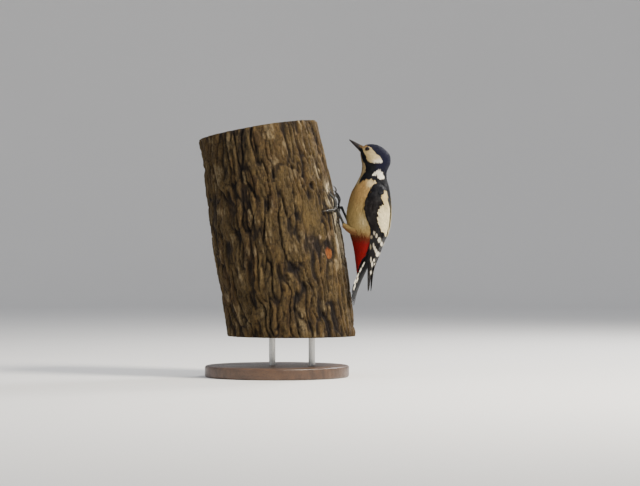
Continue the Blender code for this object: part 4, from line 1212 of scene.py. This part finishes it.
def quills(surface, roots, tips, webs, lifts, tilt, plumage, point, outer, bow=0.0, rows=84, sharp=2.2,
           camber=0.012):
    """Flight or tail feathers, each a closed vane with a ridged shaft, unequal webs and a rounded tip.

    The shaft runs in a gentle curve from root to tip over the surface. A cross-section is eleven points
    above and three below, moved sideways off the shaft, lowered by a camber that grows as the square of
    that, and tilted so that one web lies over the next feather.
    """
    count = len(roots[0])
    s = np.linspace(0, 1, rows)[None, :] ** 0.92
    at_p, at_q = (start[:, None] + (end - start)[:, None] * s for start, end in zip(roots, tips))
    place, normal = surface.at(at_p, at_q + np.asarray(bow)[..., None] * s * (1 - s) * 4)
    sideways = unit(np.cross(normal, unit(np.gradient(place, axis=1)))) * outer
    x, height = quill_shape(s, webs, point, sharp)
    lift = lifts(s)[..., None] + height - camber * x**2 + tilt * x
    points = place[..., None, :] + sideways[..., None, :] * x[..., None]
    points = points + normal[..., None, :] * lift[..., None]
    across, along = np.broadcast_arrays(ACROSS, s[..., None] + 0 * x)
    colour = np.clip(plumage(points, across, along), 0.002, 1)
    cell = np.concatenate([0.5 + 0.46 * COLUMNS, 1.5 + 0.46 * UNDER])
    feathers = []
    for i in range(count):
        u, v = (2 * i + cell) / (2 * count), MAP_EDGE + (1 - 2 * MAP_EDGE) * along[i]
        tone = with_ends(colour[i, 0, 0], colour[i, -1, 0], *np.moveaxis(colour[i], -1, 0))
        cells = with_ends((u[0], v[0, 0]), (u[-1], v[-1, 0]), u, v)
        flat = with_ends((0.5, 0.0), (0.5, 1.0), 0.5 + 0.5 * across[i], along[i])
        feathers.append((*closed_tube(points[i]), tone, cells, flat))
    return pooled(feathers)


def quill_colour(points, across, along):
    """Flight feathers: brown-black, with white spots by their place in side view, some dimmed towards brown
    as painted shade, broken at every shaft.
    """
    m, z = wing_view(points)
    colour = blend(painted(WING_BROWN, m), BLACK, 0.5 * smooth(z, 125, 165))
    colour = colour * (1 - 0.25 * bump(across, 0.0, 0.10))[..., None]
    wobble = 0.16 * lattice_noise(z * 1.1, m * 1.4, 256, 51)
    for at_m, at_z, wide, tall, lit_share in SPOTS:
        near = smooth(np.hypot((m - at_m) / wide, (z - at_z) / tall) + wobble, 1.25, 0.85)
        colour = blend(colour, blend(np.array(SPOT_SHADE), WHITE, lit_share), near * (np.abs(across) > 0.06))
    return colour


def covert_colour(surface):
    """Coverts: brown-black, with the white shoulder patch by its outline in side view."""
    def plumage(t, w):
        m, z = wing_view(surface.at(t, w)[0])
        edge = draw.uniform(-0.5, 0.5, np.shape(t))
        base = blend(painted(WING_BROWN, t), BLACK, smooth(z, 205, 232))
        return blend(base, shoulder_white_and_shade(z), inside(SCAPULAR_PATCH, m + edge, z + edge))

    return plumage


def scapulars(surface):
    """The white shoulder patch: long feathers that draw together towards its lower tip, and the black ones
    above. A white one stays only if its own tip lies inside the patch."""
    t, w = scatter(surface, (0.0, 0.50), (0.45, 1.18), 1.55)
    along, across = surface.reach(t, w)
    yaw = np.arctan2((0.99 - w) * across, (0.575 - t) * along) * smooth(t, 0.12, 0.42) + bell(len(t), 0.06)
    length = vary(len(t), 11.5, 0.12)
    at_tip = surface.at(t + length * np.cos(yaw) / along, w + length * np.sin(yaw) / across)[0]
    m, z = wing_view(at_tip)
    white = inside(SCAPULAR_PATCH, m, z) & (np.abs(at_tip[:, 1]) > 1.2 + 2.4 * smooth(z, 172, 186))
    stays = white | ((t < 0.06) & (w > 0.6))
    t, w, yaw, length, white = (values[stays] for values in (t, w, yaw, length, white))

    def plumage(at_t, at_w):
        return blend(painted(BLACK, at_t), shoulder_white_and_shade(surface.at(at_t, at_w)[0][:, 2]), white)

    sizes = length, vary(len(t), 1.7, 0.14)
    tips = 0.30 + 0.22 * t + bell(len(t), 0.10)
    return vanes(surface, (t, w), sizes, (1.3, tips, yaw), plumage, 0.42, 0.08)


def wing_quills(surface, outer):
    """Seven primaries, five secondaries and three tertials, each a little higher than the one before: t and w
    of their roots and tips, the bow of their shafts, their two webs and where they begin to round off."""
    primary, secondary, tertial = np.arange(7), np.arange(5), np.arange(3)
    roots = (np.concatenate([np.full(7, 0.43), 0.40 - 0.004 * secondary, 0.37 - 0.01 * tertial]),
             np.concatenate([0.03 + 0.060 * primary, 0.46 + 0.085 * secondary, 0.86 + 0.05 * tertial]))
    tips = (np.concatenate([PRIMARY_REACH, 0.855 - 0.024 * secondary, TERTIAL_REACH]),
            np.concatenate([0.12 + 0.095 * primary, 0.70 + 0.052 * secondary, (0.87, 0.91, 0.94)]))
    bow = np.concatenate([-0.02 - 0.01 * primary, np.full(5, -0.02), np.full(3, 0.02)])
    webs = (np.concatenate([1.7 + 0.06 * primary, 2.5 + 0.10 * secondary, np.full(3, 3.3)]),
            np.concatenate([np.full(7, 4.0), 4.8 + 0.1 * secondary, 5.0 + 0.2 * tertial]))
    point = np.concatenate([0.50 + 0.03 * primary, np.full(5, 0.86), np.full(3, 0.84)])
    order = np.arange(15)[:, None]

    def lifts(s):
        return -2.05 + 0.125 * order + 0.35 * s - 1.1 * (1 - s) ** 3

    return quills(surface, roots, tips, webs, lifts, -0.10, quill_colour, point, outer, bow)


def covert_rows(surface):
    """Rows of short feathers over the roots of the flight feathers."""
    colour, rows = covert_colour(surface), []
    for t_range, w_range, gap, length, half, tip in COVERT_ROWS:
        t, w = scatter(surface, t_range, w_range, gap)
        count = len(t)
        sizes = vary(count, length, 0.1), vary(count, half, 0.1)
        lie = COVERT_DEPTH, tip + bell(count, 0.1), bell(count, 0.06)
        rows.append(vanes(surface, (t, w), sizes, lie, colour, 0.55, 0.10))
    return rows


def wing_down(surface):
    """A thin pad under the coverts, between two depths below the wing's surface."""
    t, w = np.meshgrid(np.linspace(0.0, 0.62, 60), np.linspace(0.02, 0.97, 24), indexing="ij")
    place, normal = surface.at(t, w)
    upper, under = (place - normal * depth for depth in WING_DOWN_DEPTHS)
    return closed_tube(np.concatenate([upper, under[:, ::-1]], 1))


def make_wing(side, plush, stiff, down):
    """Flight feathers, rows of coverts, scapulars, and down underneath."""
    name, sign = f"wing_{side}", SIDES[side]
    flight, coverts = [name + "_primaries", name + "_secondaries"], [name + "_coverts"]
    surface = Surface(wing_point(side), (0.0, 1.0), (-0.12, 1.2), 260, 90, (0.0, sign, 0.0))
    long = wing_quills(surface, -sign)
    make_feathers(name + "_quills", [long], stiff, flight, QUILL_RIM, False)
    make_feathers(name + "_covert_feathers", covert_rows(surface), plush, coverts)
    make_feathers(name + "_scapulars", [scapulars(surface)], plush, coverts)
    points, faces = wing_down(surface)
    tones = painted(WING_BROWN, points[:, 0])
    make_piece(name + "_down", (points, faces), down, coverts, {"plumage": tones})


def tail_point(s, a):
    """The tail's upper face: the ridge line, widened sideways by a and arched towards the stem by a^2."""
    ridge = curve(TAIL_RIDGE, s)
    ahead = unit(ahead_of(TAIL_RIDGE, s))
    inward = np.stack([ahead[..., 1], np.zeros_like(s), -ahead[..., 0]], -1)
    inward = inward * -np.sign(inward[..., :1])
    middle = np.stack([ridge[..., 0], curve(TAIL_HALF_WIDTH, s)[..., 0] * a, ridge[..., 1]], -1)
    return middle + inward * curve(TAIL_ARCH, s) * a[..., None] ** 2


def tail_colour(points, across, along):
    """Tail feathers: black, the outer ones white towards the tip with black bars."""
    pair = np.arange(6)[:, None, None]
    wobble = 0.4 * lattice_noise(along * 60, across * 4 + pair, 256, 61)
    light = (across > -0.12 - 0.5 * (pair > 3.5)) | (pair > 4.4)
    light = light & (along + 0.02 * wobble > np.array(LIGHT_FROM)[pair]) & (along < 0.90 - 0.02 * pair)
    colour = blend(painted(BLACK, along), np.array(WHITE) * 0.95, light)
    for place, half in TAIL_BARS:
        bar = smooth(np.abs((along - place + 0.05 * across) * 62.0 + wobble), half + 0.35, half - 0.35)
        colour = blend(colour, BLACK, bar * (pair > 2.5))
    return colour


def make_tail(stiff):
    """Six feathers on each side, by number from the middle pair, the outer ones below the inner ones."""
    surface = Surface(tail_point, (0.0, 1.0), (-1.1, 1.1), 160, 90, (1.0, 0.0, 0.0))
    shafts = np.array([0.10, 0.30, 0.49, 0.67, 0.83, 0.92])
    reach = np.array([1.0, 0.985, 0.945, 0.885, 0.785, 0.44])
    webs = (np.array([2.0, 2.3, 2.3, 2.3, 2.2, 1.4]), np.array([3.0, 3.1, 3.2, 3.2, 3.2, 1.6]))
    point = np.array([0.55, 0.62, 0.68, 0.74, 0.80, 0.7])

    def lifts(s):
        return np.broadcast_to(-0.30 * np.arange(6)[:, None] - 0.15, (6, s.shape[1]))

    for side, sign in SIDES.items():
        roots, tips = (np.full(6, 0.02), sign * shafts * 0.9), (reach, sign * shafts)
        feathers = quills(surface, roots, tips, webs, lifts, -0.05, tail_colour, point, sign, rows=90,
                          sharp=1.6, camber=0.010)
        make_feathers(f"tail_{side}_feathers", [feathers], stiff, ["tail"], QUILL_RIM, False)


# ---------------------------------------------------------------- bill and eyes

BILL_OVERLAP = 1.2  # how far the horn starts behind the feathers' edge
BALL_INSET, LID_INSET, CORNEA_RISE = 0.30, 0.20, 0.26  # inside the eye's radius, and above the ball
CORNEA_WIDTH, LID_OPENING, LID_BREADTH = 0.62, 0.86, 0.40  # angles from the gaze
IRIS = (  # colours by angle from the gaze, 1 at 75 degrees: pupil, its edge, iris and rim
    (0.0, (0.002, 0.002, 0.002)), (0.30, (0.002, 0.002, 0.002)), (0.335, (0.010, 0.003, 0.002)),
    (0.48, (0.018, 0.005, 0.003)), (0.58, (0.010, 0.004, 0.003)), (0.70, (0.004, 0.003, 0.003)),
)
BILL_FORWARD = np.array([-math.cos(BILL_RISE), 0.0, math.sin(BILL_RISE)])
BILL_UP = np.array([math.sin(BILL_RISE), 0.0, math.cos(BILL_RISE)])
SIDEWAYS = np.array([0.0, 1.0, 0.0])


def bill_middle(s, length=BILL_LENGTH):
    """The bill's middle line before the head turns, at a share s of a length."""
    ahead = BILL_START - BILL_OVERLAP + s[..., None] * (length + BILL_OVERLAP)
    return np.array([BILL_BASE[0], 0.0, BILL_BASE[1]]) + BILL_FORWARD * ahead


def horn_finish():
    """Grey-black horn, paler at root and tip, with streaks along it and a dark nostril."""
    horn = Finish("bill_horn", specular_ior_level=0.2)
    along, nostril, _ = horn.marks("bill")
    streak = horn.fibres((700.0, 700.0, 160.0), 3.0, (0.0, -0.63, 0.0))
    colour = horn.ramp(along, (0.0, (0.030, 0.025, 0.023)), (0.35, (0.013, 0.012, 0.013)),
                       (0.8, (0.009, 0.008, 0.009)), (1.0, (0.024, 0.018, 0.015)))
    colour = horn.layer(colour, streak, 0.35, 0.75, 0.45, (0.040, 0.027, 0.021))
    colour = horn.layer(colour, nostril, 0.0, 1.0, 0.9, (0.006, 0.005, 0.005))
    return horn.done(colour, (streak, 0.40, 0.60), (streak, 0.00025))


def make_bill():
    """Two tapering halves with a ridged top, grooved sides, nostrils and a nearly flat closing face.

    The half-width falls as (1 - s)^0.85 and the height as (1 - s)^0.9 to a narrow chisel. A section is an
    arch whose shoulders pull in towards the ridge.
    """
    horn = horn_finish()
    s = (np.linspace(0, 1, 72) ** 0.9)[:, None]
    a = np.linspace(0, PI, 33)[None, :]
    flat = np.linspace(-1, 1, 9)[None, 1:-1]
    width = BILL_HALF_WIDTH * (1 - s) ** BILL_TAPER + BILL_TIP_HALF_WIDTH * s
    across = np.cos(a) * (1 - 0.10 * np.sin(a) ** 2)
    arch = np.sin(a) ** 0.92 * (1 + 0.06 * bump(np.cos(a), 0, 0.22))
    groove = 0.055 * (bump(a, 0.85, 0.14) + bump(a, PI - 0.85, 0.14)) * (1 - smooth(s, 0.55, 0.85))
    nostril = (bump(a, 0.62, 0.16) + bump(a, PI - 0.62, 0.16)) * bump(s, 0.12, 0.055)
    halves = ("bill_upper", UPPER_DEPTH, 1, 1.0), ("bill_lower", LOWER_DEPTH, -1, LOWER_REACH)
    for name, depth, sign, reach in halves:
        upper = sign > 0
        pull = 1 - (groove + 0.20 * nostril) * upper
        height = depth * (1 - s) ** BILL_DEPTH_TAPER + BILL_TIP_DEPTH * s
        y = np.concatenate([width * across * pull, width * flat], 1)
        h = np.concatenate([height * arch * pull, 0.16 * width * (1 - flat**2)], 1)
        middle = bill_middle(s, reach * BILL_LENGTH) + BILL_UP * sign * GAP / 4
        rings = middle + y[..., None] * SIDEWAYS + BILL_UP * sign * h[..., None]
        marks = with_ends((0, 0), (1, 0), s, np.concatenate([nostril * upper, 0 * s * flat], 1))
        make_piece(name + "_horn", closed_tube(turn(rings)), horn, [name], {"bill": marks})


def bill_point(p, q):
    """The outside of the bill near its root: p along it and q round it from the top, half-ellipses above
    and below that shrink as the bill does."""
    s = np.clip(p, -0.2, 0.9)
    wide = BILL_HALF_WIDTH * (1 - s) ** BILL_TAPER
    tall = np.where(np.cos(q) > 0, UPPER_DEPTH, LOWER_DEPTH) * (1 - s) ** BILL_DEPTH_TAPER
    sideways, upwards = (wide * np.sin(q))[..., None], (tall * np.cos(q))[..., None]
    return turn(bill_middle(s) + SIDEWAYS * sideways + BILL_UP * upwards)


def make_bristles(finish):
    """Stiff tufts that lie forward over the nostrils: buff above and below, black at the mouth's corners."""
    surface = Surface(bill_point, (-0.2, 1.0), (-PI, PI), 72, 60)
    p, q = scatter(surface, (-0.11, 0.075), (-PI, PI), 0.42)
    count, round_q = len(p), np.abs(q)

    def plumage(at_p, at_q):
        upper = blend(painted(BLACK, at_p), np.array(FOREHEAD) * 0.32, smooth(round_q, 1.35, 0.95))
        return blend(upper, np.array(THROAT) * 0.8, smooth(round_q, 2.2, 2.5))

    long = np.where(round_q < 1.5, 3.4, 2.2)
    sizes = long * vary(count, 1.0, 0.16), 0.32
    lie = 0.08, 0.30 + bell(count, 0.12), bell(count, 0.16)
    tufts = vanes(surface, (p, q), sizes, lie, plumage, 0.3, rings=TUFT_RINGS)
    make_feathers("coat_bristles", [tufts], finish, ["head"])


def round_axis(centre, axes, polar, spin, away):
    """Points at an angle polar from the first of three axes, an angle spin round it, and away from centre."""
    out, up, back = axes
    ring = up * np.cos(spin)[..., None] + back * np.sin(spin)[..., None]
    return centre + out * (np.cos(polar) * away)[..., None] + ring * (np.sin(polar) * away)[..., None]


def eye_finish():
    """A glossy ball: black pupil and a dark brown iris with faint rays."""
    eye = Finish("eye_gloss", roughness=0.03, specular_ior_level=0.26)
    rays = eye.noise(1900.0, 2.0)
    return eye.done(eye.ramp(eye.marks("ring")[0] + (rays - 0.5) * 0.05, *IRIS))


def lid_finish():
    """Bare blackish skin."""
    lid = Finish("eyelid", roughness=0.7, specular_ior_level=0.2)
    grain = lid.noise(2400.0, 3.0)
    colour = lid.ramp(grain, (0.3, (0.005, 0.005, 0.006)), (0.7, (0.016, 0.015, 0.016)))
    return lid.done(colour, relief=(grain, 0.0003))


def make_eyes():
    """Each eye is a ball with a raised cornea, a profile of radius by angle from the gaze carried round it.
    Two lids ring it: a fold of skin that starts at an almond-shaped opening on the ball and slopes away
    under the feathers."""
    gloss, lid = eye_finish(), lid_finish()
    polar, spin = np.linspace(0.03, PI - 0.03, 40)[:, None], turns(48)[None, :]
    ball = EYE_RADIUS - BALL_INSET + CORNEA_RISE * bump(polar, 0.0, CORNEA_WIDTH)
    from_gaze = with_ends((0,), (1,), np.clip(2.4 * polar / PI, 0, 1) + 0 * spin)
    lid_spin, fold = turns(72)[:, None], turns(16)[None, :]
    opening = LID_OPENING - 0.05 * np.cos(2 * lid_spin) - 0.04 * np.cos(lid_spin) ** 3
    outwards = 0.5 - 0.5 * np.cos(fold)
    thick = 0.16 + 0.08 * np.cos(lid_spin) ** 2 + 0.03 * np.sin(lid_spin * 23) * outwards
    away = EYE_RADIUS - LID_INSET + 0.22 * outwards + thick * np.sin(fold)
    for side, sign in SIDES.items():
        eye = eye_frame(sign)
        balls = closed_tube(round_axis(*eye, polar, spin, ball))
        lids = closed_band(round_axis(*eye, opening + LID_BREADTH * outwards, lid_spin, away))
        make_piece(f"eye_{side}_ball", balls, gloss, [f"eye_{side}"], {"ring": from_gaze})
        make_piece(f"eye_{side}_lids", lids, lid, [f"eye_{side}"])


# ---------------------------------------------------------------- legs and feet

TARSUS_PLATES, PAD_LUMPS, SHANK_SIDES, TOE_SIDES, CLAW_SIDES = 13, 11, 28, 22, 18
PAD_RADIUS, PAD_HALF_THICK, PAD_OFF_BARK = 3.5, 1.9, 2.5
UPWARDS = np.array([0.0, 0.0, 1.0])


def sleeve(path, radii, up, sides, swell, flat=1.0):
    """A skin round a path: circles of given radii square to it, widened by swell of the angle, 0 on top."""
    ahead = unit(np.gradient(path, axis=0))
    over = unit(np.cross(ahead, up))
    top = np.cross(over, ahead)
    a = turns(sides)[None, :]
    r = (radii[:, None] * swell(a))[..., None]
    return closed_tube(path[:, None] + over[:, None] * r * flat * np.sin(a)[..., None]
                       + top[:, None] * r * np.cos(a)[..., None])


def saw(x):
    """A wave that climbs slowly and drops fast: the fractional part, softened."""
    f = x - np.floor(x)
    return f * (1 - smooth(f, 0.86, 1.0)) * 1.15


def by_foot(side, lift, step=0.0, heading=0.0):
    """A point over the bark: a step from the ankle along a heading, raised by lift."""
    share = (ANKLE_Z + RAISED[side] - LOG_FOOT[1]) / LOG_SPAN
    return log_point(ANKLE_SIDE[side] + step * math.sin(heading) / LOG_RADIUS_FOOT,
                     share + step * math.cos(heading) / LOG_SPAN, lift)


def scale_finish():
    """Dark grey scales with darker seams."""
    scale = Finish("leg_scale", specular_ior_level=0.3)
    mottle = scale.noise(520.0, 3.0)
    colour = scale.ramp(mottle, (0.3, (0.016, 0.016, 0.014)), (0.55, (0.030, 0.030, 0.027)),
                        (0.8, (0.058, 0.060, 0.057)))
    seam = scale.grade(scale.marks("scute")[0], 0.0, 1.0, 0.75, 0.0)
    return scale.done(scale.mix(seam, colour, (0.018, 0.016, 0.013)), (mottle, 0.42, 0.62), (mottle, 0.00035))


def claw_finish():
    """Smooth near-black horn."""
    horn = Finish("claw_horn", coat_weight=0.2, coat_roughness=0.15)
    grain = horn.noise(900.0, 2.0)
    return horn.done(horn.ramp(grain, (0.3, (0.022, 0.020, 0.019)), (0.75, (0.070, 0.062, 0.052))),
                     (grain, 0.2, 0.36))


def make_scaled(name, mesh, scutes, node, finish):
    """A scaled piece, with its place on each scute, from 0 at the seam to 1, as a mark."""
    make_piece(name, mesh, finish, [node], {"scute": with_ends((1,), (1,), scutes)})


def make_shank(side, off_bark, scale):
    """A shank from heel to ankle: plates on its front that overlap as saw teeth, small ridges behind."""
    heel, u = heel_point(side), np.linspace(0, 1, 90)
    path = heel + (by_foot(side, ANKLE_OFF_BARK) - heel) * u[:, None] * 1.05
    rounded = np.sqrt(1 - np.clip(1 - np.minimum(u, 1 - u) / 0.055, 0, 0.995) ** 2)
    radii = TARSUS_RADIUS * (1.0 + 0.62 * bump(u, 0.0, 0.13) + 0.28 * bump(u, 1.0, 0.16)) * rounded
    plates = saw(u * TARSUS_PLATES)[:, None]

    def swell(a):
        ridges = 0.03 * np.cos(9 * a + 40 * u[:, None]) * smooth(-np.cos(a), 0, 0.4)
        return 1 + 0.085 * plates * smooth(np.cos(a), -0.1, 0.5) + ridges

    skin = sleeve(path, radii, -off_bark, SHANK_SIDES, swell, 0.86)
    make_scaled(f"leg_{side}_shank", skin, np.repeat(plates, SHANK_SIDES, 1), f"leg_{side}_tarsus", scale)


def make_sole(side, off_bark, scale):
    """A flattened ball with rows of small lumps."""
    polar, spin = np.linspace(0.05, PI - 0.05, 30)[:, None], turns(44)[None, :]
    lumps = np.cos(spin * PAD_LUMPS) * np.sin(polar * 9)
    over = unit(np.cross(off_bark, UPWARDS))
    axes = off_bark * PAD_HALF_THICK / PAD_RADIUS, over, np.cross(over, off_bark)
    ball = round_axis(by_foot(side, PAD_OFF_BARK), axes, polar, spin, PAD_RADIUS * (1 + 0.035 * lumps))
    make_scaled(f"foot_{side}_sole", closed_tube(ball), 0.5 + 0.5 * lumps, f"foot_{side}_pad", scale)


def claw_section(a):
    """The claw's radius by the angle round it, a little more on top and below."""
    return 1 + 0.12 * np.cos(a) ** 2


def make_toe(side, toe, off_bark, scale, horn):
    """A toe over the bark and its claw.

    The toe runs on a bearing from the ankle, raised by its own radius and an arch that follows a sine. The
    claw rises and falls as a part of a sine too, and tapers as a power of what is left of its length.
    """
    length, claw, radius, bearing, arch = TOES[toe]
    heading = math.radians(bearing) * SIDES[side]
    u = np.linspace(0, 1, 64)
    path = by_foot(side, radius * (1.6 - 0.5 * u) + TOE_CLEAR + arch * np.sin(PI * u),
                   TOE_ROOT_STEP + u * length - 1.4 * (1 - u), heading)
    joints = np.interp(u, [0, 0.2, 0.42, 0.6, 0.8, 1.0], [1.0, 0.94, 1.12, 0.92, 1.06, 0.86])
    count = max(6, round(length * 0.95))
    plates = saw(u * count)[:, None]

    def swell(a):
        ridges = 0.05 * np.cos(u[:, None] * count * 6.3) * smooth(-np.cos(a), 0.2, 0.8)
        return 1 + 0.10 * plates * smooth(np.cos(a), 0.0, 0.5) + ridges

    name = f"foot_{side}_{toe}"
    skin = sleeve(path, radius * joints, off_bark, TOE_SIDES, swell)
    make_scaled(name + "_scales", skin, np.repeat(plates, TOE_SIDES, 1), name, scale)
    v = np.linspace(0, 1, 40)
    lift = np.sin(0.42 + (PI - 0.42) * v) * claw * CLAW_ARCH + CLAW_TIP * (1 - 0.6 * v) + GAP
    lift = lift + (radius + TOE_CLEAR - lift[0]) * (1 - smooth(v, 0.0, 0.25))
    step = TOE_ROOT_STEP + length - 0.5 + v * (claw * CLAW_REACH + radius + GAP + 0.5)
    radii = radius * 0.80 * (1 - v) ** 0.75 + 0.06
    curved = sleeve(by_foot(side, lift, step, heading), radii, off_bark, CLAW_SIDES, claw_section, 0.72)
    make_piece(name + "_claw_horn", curved, horn, [name + "_claw"])


def make_feet():
    """Scaled shanks, pads and toes with a horny claw on each toe."""
    scale, horn = scale_finish(), claw_finish()
    for side in SIDES:
        off_bark = unit(by_foot(side, 9.0) - by_foot(side, 0.0))
        make_shank(side, off_bark, scale)
        make_sole(side, off_bark, scale)
        for toe in TOES:
            make_toe(side, toe, off_bark, scale, horn)


PLUSH = feather_finish("plush_feather", 0.45, barb_rows=130.0, specular_ior_level=0.12)
SILKY = feather_finish("silky_feather", 0.60, specular_ior_level=0.12)
STIFF = feather_finish("stiff_feather", 0.40, barb_rows=330.0, specular_ior_level=0.24)

make_stage()
make_lights_and_camera()
make_bark()
make_wood()
make_stand()
DOWN = make_skin()
make_coats(PLUSH, SILKY)
for wing_side in SIDES:
    make_wing(wing_side, PLUSH, STIFF, DOWN)
make_tail(STIFF)
make_bill()
make_bristles(PLUSH)
make_eyes()
make_feet()
